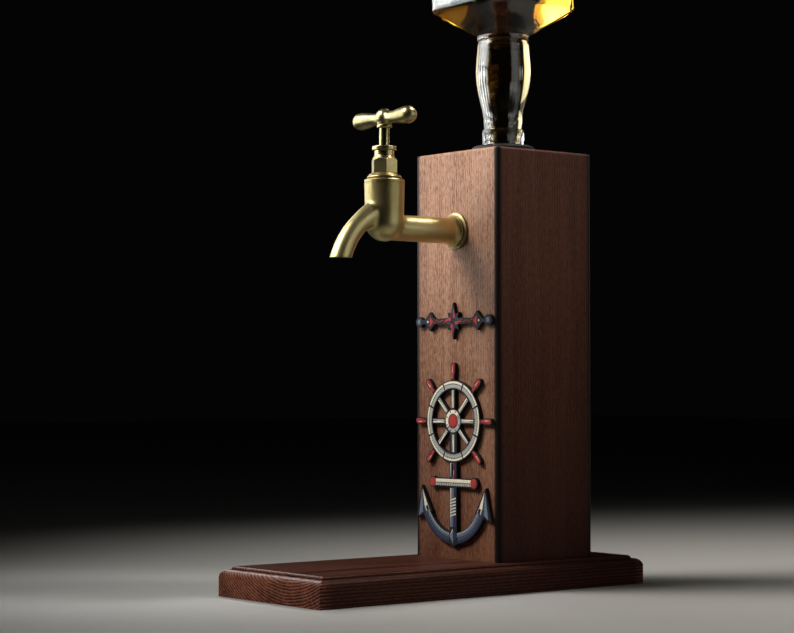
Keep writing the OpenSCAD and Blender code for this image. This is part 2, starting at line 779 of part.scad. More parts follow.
module bonnet() {
    foot_bore_r = spindle_foot_d / 2 + run_gap;
    hex_r = hex_af / 2 / cos(30);
    color("khaki") at_valve() difference() {
        union() {
            translate([0, 0, barrel_up - bonnet_spigot_h]) cylinder(r = chamber_d / 2 - fit_gap, h = bonnet_spigot_h + bonnet_washer_t);
            translate([0, 0, collar_z]) cylinder(d1 = collar_low_d, d2 = collar_top_d, h = collar_h);
            intersection() {
                translate([0, 0, hex_z]) cylinder(r = hex_r, h = hex_h, $fn = 6);
                rotate_extrude() polygon([[0, hex_z], [hex_r, hex_z], [hex_r, hex_top_z - hex_chamfer_h], [hex_top_d / 2, hex_top_z],
                    [0, hex_top_z]]);
            }
            translate([0, 0, hex_top_z]) cylinder(d = bonnet_neck_d, h = bonnet_neck_h);
        }
        cylinder(r = foot_bore_r, h = foot_top_z + open_lift + stop_gap);
        cylinder(r = spindle_d / 2 + run_gap, h = gland_z + over);
        translate([0, 0, packing_z]) cylinder(r = packing_d / 2 + fit_gap, h = gland_z - packing_z + over);
    }
}

module gland_packing() {
    color("gray") at_valve() tube(packing_d / 2, spindle_d / 2 + run_gap, packing_z, packing_h);
}

module gland_nut() {
    color("olive") at_valve() rotate_extrude() difference() {
        union() {
            translate([0, gland_z - gland_nose_h]) square([packing_d / 2, gland_nose_h + gland_h]);
            translate([0, gland_z + gland_r]) square([gland_d / 2, gland_h - 2 * gland_r]);
            translate([0, gland_z]) square([gland_d / 2 - gland_r, gland_h]);
            for (z = [gland_r, gland_h - gland_r]) translate([gland_d / 2 - gland_r, gland_z + z]) circle(gland_r);
        }
        translate([0, gland_z - gland_nose_h - over]) square([spindle_d / 2 + run_gap, gland_nose_h + gland_h + 2 * over]);
    }
}

// Spindle and handle

module spindle() {
    rod_top_z = hub_z + hub_h - hub_cap_t;
    color("wheat") at_valve() difference() {
        union() {
            translate([0, 0, foot_z]) cylinder(d = spindle_foot_d, h = spindle_foot_h);
            translate([0, 0, foot_z]) cylinder(d = spindle_d, h = rod_top_z - foot_z);
        }
        translate([0, 0, foot_z - over]) cylinder(d = stem_d + 2 * run_gap, h = stem_l + 2 * over);
    }
}

// Radius of the handle's arm at the distance x from the hub's axis
function arm_r(x) = handle_arm_d / 2 + (handle_end_d - handle_arm_d) / 2 * ease(max(0, x - hub_d / 2) / (handle_span / 2 - hub_d / 2));

// Half of the handle's bar, as an outline turned about its length
module arm_2d(steps = 10) {
    end = handle_span / 2;
    polygon(concat([[0, 0]], [for (i = [0 : steps]) let (x = hub_d / 2 + (end - hub_d / 2) * i / steps) [arm_r(x), x]], [[0, end]],
        [[0, 0]]));
    polygon([[0, 0], [handle_arm_d / 2, 0], [handle_arm_d / 2, hub_d / 2 + 0.01], [0, hub_d / 2 + 0.01]]);
    translate([0, end]) intersection() {
        circle(d = handle_end_d);
        square([handle_end_d, handle_end_d]);
    }
}

// The hub's outline: a short foot, then a swelling with a domed top
module hub_2d() {
    r = hub_d / 2;
    foot_h = hub_h - 2 * r + 1.4;
    intersection() {
        translate([0, hub_h - r]) circle(r);
        square([r, hub_h]);
    }
    square([hub_foot_d / 2, foot_h]);
    square([hub_foot_d / 2 - 0.6, hub_h / 2]);
}

// A rod that points from the spindle's side to the column, at the height of the grub screw
module grub_rod(r, l) {
    translate([0, spindle_d / 2 + fit_gap, hub_z + hub_h * 0.35]) rotate([-90, 0, 0]) cylinder(r = r, h = l);
}

module t_handle() {
    color("palegoldenrod") at_valve() difference() {
        union() {
            translate([0, 0, hub_z]) rotate_extrude() hub_2d();
            for (s = [-1, 1]) translate([0, 0, bar_z]) rotate([0, s * 90, 0]) rotate_extrude() arm_2d();
        }
        translate([0, 0, hub_z - over]) cylinder(d = spindle_d + 2 * fit_gap, h = hub_h - hub_cap_t + over + fit_gap);
        grub_rod(grub_d / 2 + fit_gap, hub_d);
    }
}

module handle_grub_screw() {
    color("slategray") at_valve() grub_rod(grub_d / 2, grub_l);
}

// Valve

module jumper() {
    color("darkorange") at_valve() {
        translate([0, 0, plate_z]) cylinder(d = jumper_d, h = jumper_t);
        translate([0, 0, washer_z - washer_nut_t]) cylinder(d = stem_d, h = washer_nut_t + tap_washer_t + jumper_t + stem_l);
    }
}

module tap_washer() {
    color("black") at_valve() tube(tap_washer_d / 2, stem_d / 2 + fit_gap, washer_z, tap_washer_t);
}

module washer_nut() {
    color("silver") at_valve() difference() {
        translate([0, 0, washer_z - washer_nut_t]) cylinder(d = washer_nut_af / cos(30), h = washer_nut_t, $fn = 6);
        translate([0, 0, washer_z - washer_nut_t - over]) cylinder(d = stem_d + 2 * fit_gap, h = washer_nut_t + 2 * over);
    }
}

// Bottle

// Radius of the neck's outside at the height z above the transfer ring's underside:
// nearly straight at first, then a swelling that eases in again under the bead
function neck_r(z) = z < flare_z
    ? neck_low_d / 2 + (neck_flare_d - neck_low_d) / 2 * pow((z - ring_h) / neck_flare_h, 3)
    : z < swell_z
    ? neck_flare_d / 2 + (neck_swell_d - neck_flare_d) / 2 * sin(90 * (z - flare_z) / (swell_z - flare_z))
    : neck_swell_d / 2 - (neck_swell_d - neck_top_d) / 2 * ease((z - swell_z) / neck_top_h);

neck_steps = 16;
neck_curve = [for (i = [0 : neck_steps]) let (z = ring_h + (bead_z - ring_h) * i / neck_steps) [neck_r(z), z]];

// The neck's outside, from its mouth into the shoulder
module neck_2d() {
    polygon(concat([[0, -finish_h], [finish_d / 2, -finish_h], [finish_d / 2, 0], [ring_d / 2, 0], [ring_d / 2, ring_h]], neck_curve,
        [[neck_bead_d / 2, bead_z], [neck_bead_d / 2, shoulder_low_z], [neck_top_d / 2, shoulder_low_z],
        [neck_top_d / 2, shoulder_low_z + over], [0, shoulder_low_z + over]]));
}

// The neck's bore, from past its mouth into the shoulder
module neck_bore_2d() {
    top_r = neck_top_d / 2 - neck_wall;
    polygon(concat([[0, -finish_h - over], [mouth_d / 2, -finish_h - over], [mouth_d / 2, ring_h / 2]],
        [for (p = neck_curve) [max(mouth_d / 2, p[0] - neck_wall), p[1]]],
        [[top_r, shoulder_low_z + bottle_wall + over], [0, shoulder_low_z + bottle_wall + over]]));
}

// A square body of width w on a pyramid shoulder that comes down to a disc of radius r
module bottle_form(w, c, r, low, body_low, top) {
    hull() {
        translate([0, 0, low]) cylinder(r = r, h = 0.5);
        translate([0, 0, body_low]) linear_extrude(0.5) chamfered_square(w, c);
    }
    translate([0, 0, body_low]) linear_extrude(top - body_low) chamfered_square(w, c);
}

// The last part of the body, drawn in by the chamfer round the foot
module bottle_heel(w, c, top) {
    hull() {
        translate([0, 0, top - heel_c - 0.5]) linear_extrude(0.5) chamfered_square(w, c);
        translate([0, 0, top - heel_c]) linear_extrude(heel_c) chamfered_square(w - 2 * heel_c, c);
    }
}

module bottle() {
    wall_c = bottle_chamfer - bottle_wall * (2 - sqrt(2));
    punt_r = (punt_d * punt_d / 4 + punt_h * punt_h) / (2 * punt_h);
    color("lightcyan") translate([0, col_y, bottle_z]) difference() {
        union() {
            rotate_extrude() neck_2d();
            bottle_form(bottle_w, bottle_chamfer, neck_top_d / 2, shoulder_low_z, body_low_z, bottle_h - heel_c);
            bottle_heel(bottle_w, bottle_chamfer, bottle_h);
        }
        rotate_extrude() neck_bore_2d();
        bottle_form(bottle_w - 2 * bottle_wall, wall_c, neck_top_d / 2 - neck_wall, shoulder_low_z + bottle_wall,
            body_low_z + bottle_wall / 2, bottle_h - bottle_foot_t);
        translate([0, 0, bottle_h - punt_h]) intersection() {
            translate([0, 0, punt_r]) sphere(r = punt_r);
            cylinder(d = punt_d + over, h = punt_h + over);
        }
    }
}

base_plank();
column_front();
column_back();
column_left();
column_right();
column_top_block();
column_foot_block();
base_screws();
emblem_plate();
ornament_plate();
neck_seat();
feed_cup();
cup_washer();
feed_elbow();
tap_body();
wall_flange();
back_washer();
back_nut();
bonnet_washer();
bonnet();
gland_packing();
gland_nut();
spindle();
t_handle();
handle_grub_screw();
jumper();
tap_washer();
washer_nut();
bottle();
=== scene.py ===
"""Looks of a countertop spirit dispenser: wood, brass tap, printed cut-outs and a glass bottle."""

import json
import math

import bmesh
import bpy
from bpy.props import FloatProperty, FloatVectorProperty, IntProperty, PointerProperty
from mathutils import Matrix, Vector


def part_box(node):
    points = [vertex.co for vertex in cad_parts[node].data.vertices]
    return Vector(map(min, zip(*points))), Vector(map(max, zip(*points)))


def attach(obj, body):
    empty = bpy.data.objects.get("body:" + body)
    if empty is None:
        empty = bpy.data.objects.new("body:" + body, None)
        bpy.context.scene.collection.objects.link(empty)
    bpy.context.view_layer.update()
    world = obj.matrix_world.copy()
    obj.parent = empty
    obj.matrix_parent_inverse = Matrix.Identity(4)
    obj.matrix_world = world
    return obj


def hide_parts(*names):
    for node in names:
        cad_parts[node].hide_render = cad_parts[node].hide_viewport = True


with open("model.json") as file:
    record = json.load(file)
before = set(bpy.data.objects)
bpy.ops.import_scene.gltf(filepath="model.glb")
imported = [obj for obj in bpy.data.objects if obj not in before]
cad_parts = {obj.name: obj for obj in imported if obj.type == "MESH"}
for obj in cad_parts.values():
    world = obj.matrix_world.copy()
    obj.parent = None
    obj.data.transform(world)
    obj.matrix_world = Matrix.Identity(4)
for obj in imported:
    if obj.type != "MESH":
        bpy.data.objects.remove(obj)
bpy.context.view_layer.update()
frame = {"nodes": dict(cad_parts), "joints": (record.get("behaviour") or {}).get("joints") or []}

bl_info = {
    "name": "Spirit dispenser",
    "version": (1, 0, 0),
    "blender": (4, 5, 0),
    "location": "3D View > Sidebar > Dispenser",
    "description": "Dresses the packed dispenser with its finishes and modelled pieces",
    "category": "Add Mesh",
}

UP = Vector((0, 0, 1))
BACK = Vector((0, 1, 0))
RIGHT = Vector((1, 0, 0))

# Places that the frame gives
HANDLE_JOINT = next(j for j in frame["joints"] if j["name"] == "handle_turn")
FLANGE_LOW, FLANGE_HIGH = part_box("wall_flange")
FACE_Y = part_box("column_front")[0].y
BOTTLE_LOW, BOTTLE_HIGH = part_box("bottle")
SEAT_LOW, SEAT_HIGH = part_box("neck_seat")
EMBLEM_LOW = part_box("emblem_plate")[0]
ORNAMENT_LOW, ORNAMENT_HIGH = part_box("ornament_plate")
TAP = Vector((0, HANDLE_JOINT["pos_m"][1], (FLANGE_LOW.z + FLANGE_HIGH.z) / 2))
COLUMN = Vector((0, (BOTTLE_LOW.y + BOTTLE_HIGH.y) / 2, 0))


# Properties


def length(name, description, default):
    """A size in metres."""
    return FloatProperty(name=name, description=description, default=default, unit="LENGTH", precision=5)


def angle(name, description, degrees):
    """An angle, given in degrees and kept in radians."""
    return FloatProperty(name=name, description=description, default=math.radians(degrees), subtype="ANGLE")


def colour(name, description, default):
    """A linear colour."""
    return FloatVectorProperty(
        name=name, description=description, default=default, size=3, subtype="COLOR", min=0.0, max=1.0
    )


def number(name, description, default):
    """A plain number."""
    return FloatProperty(name=name, description=description, default=default, min=0.0)


def glow(name, description, default):
    """A soft box's brightness when it is seen head-on."""
    return number(name + " light", description, default)


class WoodLook(bpy.types.PropertyGroup):
    """Finish of the stained wood."""

    front_stain: colour("Front stain", "Early wood of the column's front", (0.45, 0.255, 0.162))
    front_dark: colour("Front dark", "Late wood of the column's front", (0.19, 0.080, 0.044))
    # Painted shade: the column's other boards take a much darker stain than the front.
    shaded_side_stain: colour("Side stain", "Early wood of the column's other boards", (0.150, 0.055, 0.028))
    shaded_side_dark: colour("Side dark", "Late wood of the column's other boards", (0.061, 0.017, 0.008))
    base_stain: colour("Base stain", "Early wood of the base", (0.112, 0.039, 0.022))
    base_dark: colour("Base dark", "Late wood of the base", (0.030, 0.008, 0.005))
    raw_light: colour("Raw wood", "Early wood of the hidden block", (0.62, 0.46, 0.28))
    raw_dark: colour("Raw dark", "Late wood of the hidden block", (0.42, 0.27, 0.14))
    column_rings: length("Column rings", "Distance between growth rings in the column", 0.0024)
    base_rings: length("Base rings", "Distance between growth rings in the base", 0.0021)
    # Painted light: the base's early wood grows lighter towards both its ends.
    end_light: number("End wear", "How many times lighter the base's worn ends are", 3.5)
    end_light_l: length("End wear length", "Length of the worn stretch at each end of the base", 0.010)
    # Painted shade: the corner shade is a dark line laid into the wood's colour along each rounded corner
    # of the column.
    corner_shade: colour("Corner tone", "Stain gathered along the column's corners", (0.014, 0.007, 0.005))
    corner_w: length("Corner width", "Width of the dark line along each corner", 0.0050)
    corner_fade: length("Corner fade", "Width over which that line fades", 0.0020)
    # Painted shade: the column's wood grows darker towards its foot.
    foot_shade: colour("Foot tone", "Share of each colour left at the column's foot", (0.42, 0.30, 0.25))
    foot_low: length("Foot start", "Height up to which the column's foot is darkest", 0.020)
    foot_high: length("Foot end", "Height where the darker foot ends", 0.225)


class MetalLook(bpy.types.PropertyGroup):
    """Finish of the metal pieces."""

    brass: colour("Brass", "Satin brass of the tap", (0.58, 0.50, 0.235))
    # The patina colour also gives the painted shade over the tap's barrel.
    patina_and_shade: colour("Patina", "Brass where it has darkened", (0.33, 0.26, 0.10))
    # This colour is partly tarnish and partly painted shade: the wall rose and the handle are darkened
    # towards it.
    tarnish_and_shade: colour("Tarnish", "Nearly black brass on the wall rose and the handle", (0.06, 0.046, 0.02))
    steel: colour("Steel", "Plain steel of the hidden pieces", (0.56, 0.56, 0.55))


class TapForm(bpy.types.PropertyGroup):
    """Sizes of the tap's casting and its fittings, counted from the inlet pipe's axis."""

    pipe_d: length("Pipe", "Diameter of the inlet pipe", 0.019)
    bell_d: length("Bell", "Diameter of the bell at the pipe's end", 0.0234)
    bell_l: length("Bell length", "Length of the flare into the bell", 0.0055)
    tail_d: length("Tail", "Diameter of the threaded tail", 0.0209)
    tail_l: length("Tail length", "Length of the tail behind the column's face", 0.037)
    barrel_d: length("Barrel", "Diameter of the barrel at its rim", 0.029)
    barrel_low_d: length("Barrel foot", "Diameter of the barrel's round bottom", 0.0278)
    barrel_up: length("Barrel height", "Height of the barrel's rim", 0.034)
    barrel_down: length("Barrel depth", "Depth of the barrel's round bottom", 0.0105)
    rim_h: length("Rim", "Height of the ring round the barrel's rim", 0.0024)
    chamber_d: length("Chamber", "Bore of the barrel", 0.021)
    floor_up: length("Chamber floor", "Height of the chamber's floor", 0.007)
    crown_d: length("Crown", "Diameter of the valve's crown", 0.013)
    crown_h: length("Crown height", "Height of the valve's crown", 0.0015)
    seat_bore_d: length("Seat bore", "Bore of the valve's seat", 0.009)
    spout_arc_r: length("Spout curve", "Radius of the spout's curve", 0.053)
    spout_rise: length("Spout rise", "Height of the curve's top", 0.0138)
    spout_back: length("Spout back", "Distance of the curve's top behind the valve", 0.0115)
    mouth_drop: length("Mouth drop", "Drop of the spout's mouth", 0.0232)
    spout_root_d: length("Spout root", "Diameter at the spout's root", 0.022)
    spout_mid_d: length("Spout middle", "Diameter at the spout's middle", 0.0142)
    spout_mouth_d: length("Spout mouth", "Diameter at the spout's mouth", 0.0154)
    spout_bore_d: length("Spout bore", "Bore of the spout", 0.010)
    cell: length("Cell", "Cell size when the casting's shells are fused", 0.0005)


class HeadForm(bpy.types.PropertyGroup):
    """Sizes of the tap's head, spindle and handle, counted from the inlet pipe's axis."""

    collar_up: length("Collar", "Height of the bonnet's collar", 0.0352)
    collar_low_d: length("Collar foot", "Diameter of the collar at the washer", 0.025)
    collar_top_d: length("Collar top", "Diameter of the collar at the hexagon", 0.0204)
    hex_low: length("Hexagon foot", "Height of the hexagon's lower face", 0.0385)
    hex_high: length("Hexagon top", "Height of the hexagon's upper face", 0.0496)
    hex_af: length("Hexagon", "Width of the hexagon across its flats", 0.017)
    hex_top_d: length("Hexagon chamfer", "Diameter of the hexagon's upper face", 0.016)
    hex_chamfer_h: length("Chamfer height", "Height of the hexagon's chamfer", 0.0016)
    neck_d: length("Bonnet neck", "Diameter of the bonnet's neck", 0.0142)
    gland_low: length("Gland foot", "Height of the gland nut's lower face", 0.055)
    gland_high: length("Gland top", "Height of the gland nut's upper face", 0.058)
    gland_d: length("Gland", "Diameter of the gland nut", 0.0176)
    rod_d: length("Spindle", "Diameter of the spindle", 0.0076)
    hub_low: length("Hub underside", "Height of the hub's lower face", 0.0713)
    hub_high: length("Hub top", "Height of the hub's domed top", 0.0853)
    hub_d: length("Hub", "Diameter of the hub", 0.013)
    hub_foot_d: length("Hub foot", "Diameter of the hub's foot", 0.011)
    bar_up: length("Bar", "Height of the handle's bar", 0.0783)
    arm_d: length("Arm", "Diameter of an arm at the hub", 0.0086)
    end_d: length("Arm end", "Diameter of an arm's round end", 0.0126)
    span: length("Span", "Distance between the centres of the round ends", 0.0545)
    cell: length("Cell", "Cell size when the handle's shells are fused", 0.0004)


class BottleForm(bpy.types.PropertyGroup):
    """Sizes of the bottle, counted from the underside of its transfer ring."""

    finish_h: length("Finish length", "Length of the finish under the transfer ring", 0.020)
    finish_d: length("Finish", "Diameter of the finish", 0.0276)
    mouth_d: length("Mouth", "Bore of the mouth", 0.019)
    ring_d: length("Ring", "Diameter of the transfer ring", 0.0316)
    ring_h: length("Ring height", "Height of the transfer ring", 0.012)
    neck_low_d: length("Neck low", "Diameter of the neck over the transfer ring", 0.0293)
    flare_d: length("Neck flare", "Diameter where the neck starts to swell", 0.0314)
    flare_z: length("Flare height", "Height where the neck starts to swell", 0.025)
    swell_d: length("Neck swelling", "Diameter of the neck's swelling", 0.0414)
    swell_z: length("Swelling height", "Height of the neck's swelling", 0.055)
    neck_top_d: length("Neck top", "Diameter of the neck under its bead", 0.0386)
    bead_d: length("Bead", "Diameter of the bead under the shoulder", 0.0396)
    bead_z: length("Bead height", "Height of the bead's underside", 0.0792)
    shoulder_z: length("Shoulder", "Height where the shoulder starts", 0.0822)
    body_z: length("Body", "Height where the square body starts", 0.1017)
    chamfer: length("Chamfer", "Leg of the chamfer on the body's upright edges", 0.010)
    edge_r: length("Edge", "Radius on the body's edges", 0.0016)
    heel_r: length("Heel", "Radius round the foot", 0.0024)
    wall: length("Wall", "Wall of the body", 0.0035)
    neck_wall: length("Neck wall", "Wall of the neck", 0.0038)
    foot_t: length("Foot", "Thickness of the foot", 0.006)
    punt_d: length("Punt", "Diameter of the hollow in the foot", 0.058)
    punt_h: length("Punt depth", "Depth of the hollow in the foot", 0.003)
    fill_z: length("Fill", "Height of the spirit's surface", 0.222)
    spirit: colour("Spirit", "Colour that the spirit lets through", (0.95, 0.71, 0.01))
    spirit_depth: number("Depth of colour", "Absorption in a metre of spirit", 40.0)


class PrintLook(bpy.types.PropertyGroup):
    """Inks and sizes of the two printed cut-outs."""

    cream: colour("Cream", "Light ink", (0.86, 0.80, 0.62))
    shade: colour("Shade", "Shaded side of the light ink", (0.42, 0.42, 0.40))
    slate: colour("Slate", "Blue-grey ink", (0.16, 0.20, 0.28))
    navy: colour("Navy", "Dark blue ink", (0.030, 0.036, 0.075))
    red: colour("Red", "Red ink", (0.42, 0.045, 0.036))
    black: colour("Black", "Ground that shows between the inks", (0.012, 0.012, 0.016))
    line: length("Line", "Width of the dark line round each patch of ink", 0.0008)
    ink_t: length("Ink", "Thickness of the ink over the ground", 0.00016)
    wheel_up: length("Wheel centre", "Height of the wheel's centre over the emblem's lowest point", 0.092)
    wheel_r: length("Wheel", "Radius over the wheel's grips", 0.043)
    rim_r: length("Rim", "Outer radius of the wheel's rim", 0.030)
    rim_w: length("Rim width", "Width of the wheel's rim", 0.0065)
    hub_r: length("Hub", "Radius of the wheel's hub", 0.009)
    spoke_w: length("Spoke", "Width of a spoke", 0.004)
    spokes: IntProperty(name="Spokes", description="Number of spokes", default=8, min=4, max=12)
    anchor_r: length("Anchor", "Radius of the anchor's arms", 0.038)
    arm_w: length("Anchor arm", "Width of the anchor's arms", 0.0085)
    shank_w: length("Shank", "Width of the anchor's shank", 0.008)
    stock_l: length("Stock", "Length of the anchor's stock", 0.046)
    stock_w: length("Stock width", "Width of the anchor's stock", 0.0065)
    stock_up: length("Stock height", "Height of the stock over the emblem's lowest point", 0.047)
    star_r: length("Star", "Radius of the ornament's star", 0.0135)


class StageSetup(bpy.types.PropertyGroup):
    """Camera, floor and lights."""

    camera_at: FloatVectorProperty(
        name="Camera", description="Place of the camera", default=(1.1735, -0.9768, 0.1497),
        subtype="TRANSLATION",
    )
    camera_tilt: angle("Tilt", "Tilt of the camera, a right angle being level", 91.839)
    camera_turn: angle("Turn", "Turn of the camera about the vertical", 51.331)
    lens: number("Lens", "Focal length on a 36 mm sensor, in millimetres", 94.80)
    floor: colour("Floor", "Pale floor", (0.43, 0.42, 0.395))
    room: colour("Room", "Plain backdrop and ambient light", (0.0012, 0.0012, 0.0013))
    key_glow: glow("Key", "High soft box at the front left", 37.0)
    left_glow: glow("Left", "Soft box at the left for the upper part of the bottle's neck", 6.0)
    face_glow: glow("Face", "Small soft box at the left for the bottle's front", 6.0)
    band_glow: glow("Band", "Gridded soft boxes at the left for the long band on the neck", 16.0)
    grey_glow: glow("Grey", "Gridded soft boxes at the right for the grey band on the neck", 1.5)
    neck_glow: glow("Neck", "Soft box at the left for the edge of the bottle's neck", 3.0)
    side_glow: glow("Side", "Dim soft box at the right", 0.7)
    top_glow: glow("Top", "Small gridded soft box over the pipe", 100.0)
    spout_glow: glow("Spout", "Small gridded soft box at the right, for the spout", 30.0)
    head_glow: glow("Head", "Gridded soft box at the right and behind, for the tap's head", 5.0)
    gold_glow: glow("Gold", "Gridded soft box over the bottle", 0.4)
    rim_glow: glow("Rim", "Soft box at the left and behind", 18.0)
    back_glow: glow("Back", "Warm soft box behind", 1.6)


# Outlines


def arc(centre, radius, start, end, steps):
    """Points on a circle in an outline's plane, from one angle to another in degrees."""
    points = []
    for i in range(steps + 1):
        bearing = math.radians(start + (end - start) * i / steps)
        points.append((centre[0] + radius * math.cos(bearing), centre[1] + radius * math.sin(bearing)))
    return points


def ease(t):
    """A curve from 0 to 1 that starts and ends level."""
    return (1 - math.cos(math.pi * t)) / 2


def between(low, high, steps):
    """Evenly spaced values from low to high."""
    return [low + (high - low) * i / steps for i in range(steps + 1)]


# Mesh helpers


def turn(bm, outline, centre, axis=UP, steps=72, closed=False):
    """Spin an outline of (radius, height) points about an axis through centre."""
    side = UP if abs(axis.x) > 0.5 else RIGHT
    points = [bm.verts.new(centre + side * r + axis * h) for r, h in outline]
    following = points[1:] + points[:1] if closed else points[1:]
    edges = [bm.edges.new(pair) for pair in zip(points, following)]
    bmesh.ops.spin(
        bm, geom=points + edges, cent=centre, axis=axis, angle=2 * math.pi, steps=steps, use_merge=True
    )


def close(bm):
    """Merge the doubles that spins leave and point the faces outwards."""
    bmesh.ops.remove_doubles(bm, verts=bm.verts, dist=2e-6)
    bmesh.ops.recalc_face_normals(bm, faces=bm.faces)


def sharp_edges(bm, limit, where=None):
    """Edges that fold by more than limit, all of them or those whose middle passes a test."""
    found = []
    for edge in bm.edges:
        if len(edge.link_faces) != 2 or edge.calc_face_angle(0.0) < limit:
            continue
        if where is None or where((edge.verts[0].co + edge.verts[1].co) / 2):
            found.append(edge)
    return found


def soften(bm, width, limit=math.radians(28), segments=3, where=None):
    """Round over the sharp edges."""
    bmesh.ops.bevel(
        bm, geom=sharp_edges(bm, limit, where), offset=width, offset_type="OFFSET", affect="EDGES",
        segments=segments, profile=0.5, material=-1, clamp_overlap=True,
    )


def lathe(outline, centre, edge_r, axis=UP, steps=72, limit=math.radians(28), segments=3):
    """A closed outline spun about an axis, with its sharp edges rounded over."""
    bm = bmesh.new()
    turn(bm, outline, centre, axis, steps, closed=True)
    close(bm)
    soften(bm, edge_r, limit, segments)
    return bm


def open_edges(bm):
    """The edges with a face on one side only."""
    return [edge for edge in bm.edges if edge.is_boundary]


def next_ring(bm, ring, place):
    """Extrude a closed ring of edges and put each new vertex where place says."""
    made = bmesh.ops.extrude_edge_only(bm, edges=ring)["geom"]
    verts = {v for v in made if isinstance(v, bmesh.types.BMVert)}
    for vert in verts:
        vert.co = place(vert.co)
    return [e for e in made if isinstance(e, bmesh.types.BMEdge) and verts.issuperset(e.verts)]


def lead(bm, ring, outline, centre, axis=UP):
    """Extrude a ring along an outline of (radius, height) points about an axis."""
    for radius, height in outline:
        def place(co):
            out = co - centre
            out -= axis * out.dot(axis)
            return centre + axis * height + out.normalized() * radius
        ring = next_ring(bm, ring, place)
    return ring


def cut(bm, point, normal):
    """Cut away what lies beyond a plane and return the ring of edges left open there."""
    whole = bm.verts[:] + bm.edges[:] + bm.faces[:]
    bmesh.ops.bisect_plane(bm, geom=whole, plane_co=point, plane_no=normal, clear_outer=True)
    return open_edges(bm)


def fused(bm, cell):
    """The closed shells of a bmesh as one skin, fused on a grid of small cells."""
    shells = bpy.data.meshes.new("shells")
    bm.to_mesh(shells)
    bm.free()
    holder = bpy.data.objects.new("shells", shells)
    bpy.context.scene.collection.objects.link(holder)
    remesh = holder.modifiers.new("fuse", "REMESH")
    remesh.mode = "VOXEL"
    remesh.voxel_size = cell
    bpy.context.view_layer.update()
    skin = bpy.data.meshes.new_from_object(holder.evaluated_get(bpy.context.evaluated_depsgraph_get()))
    bpy.data.objects.remove(holder)
    bpy.data.meshes.remove(shells)
    out = bmesh.new()
    out.from_mesh(skin)
    bpy.data.meshes.remove(skin)
    return out


def smooth(bm, verts, passes):
    """Smooth some vertices several times over."""
    for _ in range(passes):
        bmesh.ops.smooth_vert(
            bm, verts=verts, factor=0.5, use_axis_x=True, use_axis_y=True, use_axis_z=True
        )


def round_joins(bm, passes, reach, limit=math.radians(6)):
    """Smooth the skin where its shells meet, which leaves the fillets of a casting."""
    hollow = set()
    for edge in bm.edges:
        if len(edge.link_faces) == 2 and edge.calc_face_angle_signed(0.0) < -limit:
            hollow.update(edge.verts)
    for _ in range(reach):
        hollow |= {edge.other_vert(vert) for vert in hollow for edge in vert.link_edges}
    smooth(bm, list(hollow), passes)


def add(bm, other):
    """Move another bmesh's shells into this one."""
    mesh = bpy.data.meshes.new("shells")
    other.to_mesh(mesh)
    other.free()
    bm.from_mesh(mesh)
    bpy.data.meshes.remove(mesh)


def thread(bm, centre, root_r, depth, pitch, turns, axis=UP, steps=48):
    """A helical bead round an axis, closed at both ends."""
    side = UP if abs(axis.x) > 0.5 else RIGHT
    half = pitch * 0.3
    profile = [(root_r - depth * 0.3, -half), (root_r + depth, -half * 0.4), (root_r + depth, half * 0.4),
               (root_r - depth * 0.3, half)]
    points = [bm.verts.new(centre + side * r + axis * h) for r, h in profile]
    edges = [bm.edges.new(pair) for pair in zip(points, points[1:] + points[:1])]
    bmesh.ops.edgeloop_fill(bm, edges=edges)
    count = round(steps * turns)
    made = bmesh.ops.spin(
        bm, geom=points + edges, cent=centre, axis=axis, dvec=axis * (pitch / steps),
        angle=2 * math.pi * turns, steps=count,
    )
    bmesh.ops.edgeloop_fill(bm, edges=[e for e in made["geom_last"] if isinstance(e, bmesh.types.BMEdge)])


def finish_piece(bm, name, materials, body, stands_for=(), crease=math.radians(35)):
    """Turn a bmesh into a piece that rides on a body and stands for CAD nodes."""
    for face in bm.faces:
        face.smooth = True
    for edge in bm.edges:
        edge.smooth = len(edge.link_faces) != 2 or edge.calc_face_angle(0.0) < crease
    mesh = bpy.data.meshes.new(name)
    bm.to_mesh(mesh)
    bm.free()
    for material in materials:
        mesh.materials.append(material)
    piece = bpy.data.objects.new(name, mesh)
    bpy.context.scene.collection.objects.link(piece)
    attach(piece, body)
    if stands_for:
        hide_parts(*stands_for)
    return piece


def even_normals(piece):
    """Let the wide faces set the shading, so that rounded edges stay narrow highlights."""
    weighted = piece.modifiers.new("even_normals", "WEIGHTED_NORMAL")
    weighted.keep_sharp = True
    weighted.weight = 90


def dress(node, material):
    """Give a CAD node its finish."""
    slots = frame["nodes"][node].data.materials
    slots.clear()
    slots.append(material)


# Material helpers

# Length of one band of a wave texture at a scale of 1
WAVE_PERIOD = math.pi / 10


def scaled(tone, factor):
    """A colour made darker or lighter."""
    return tuple(c * factor for c in tone)


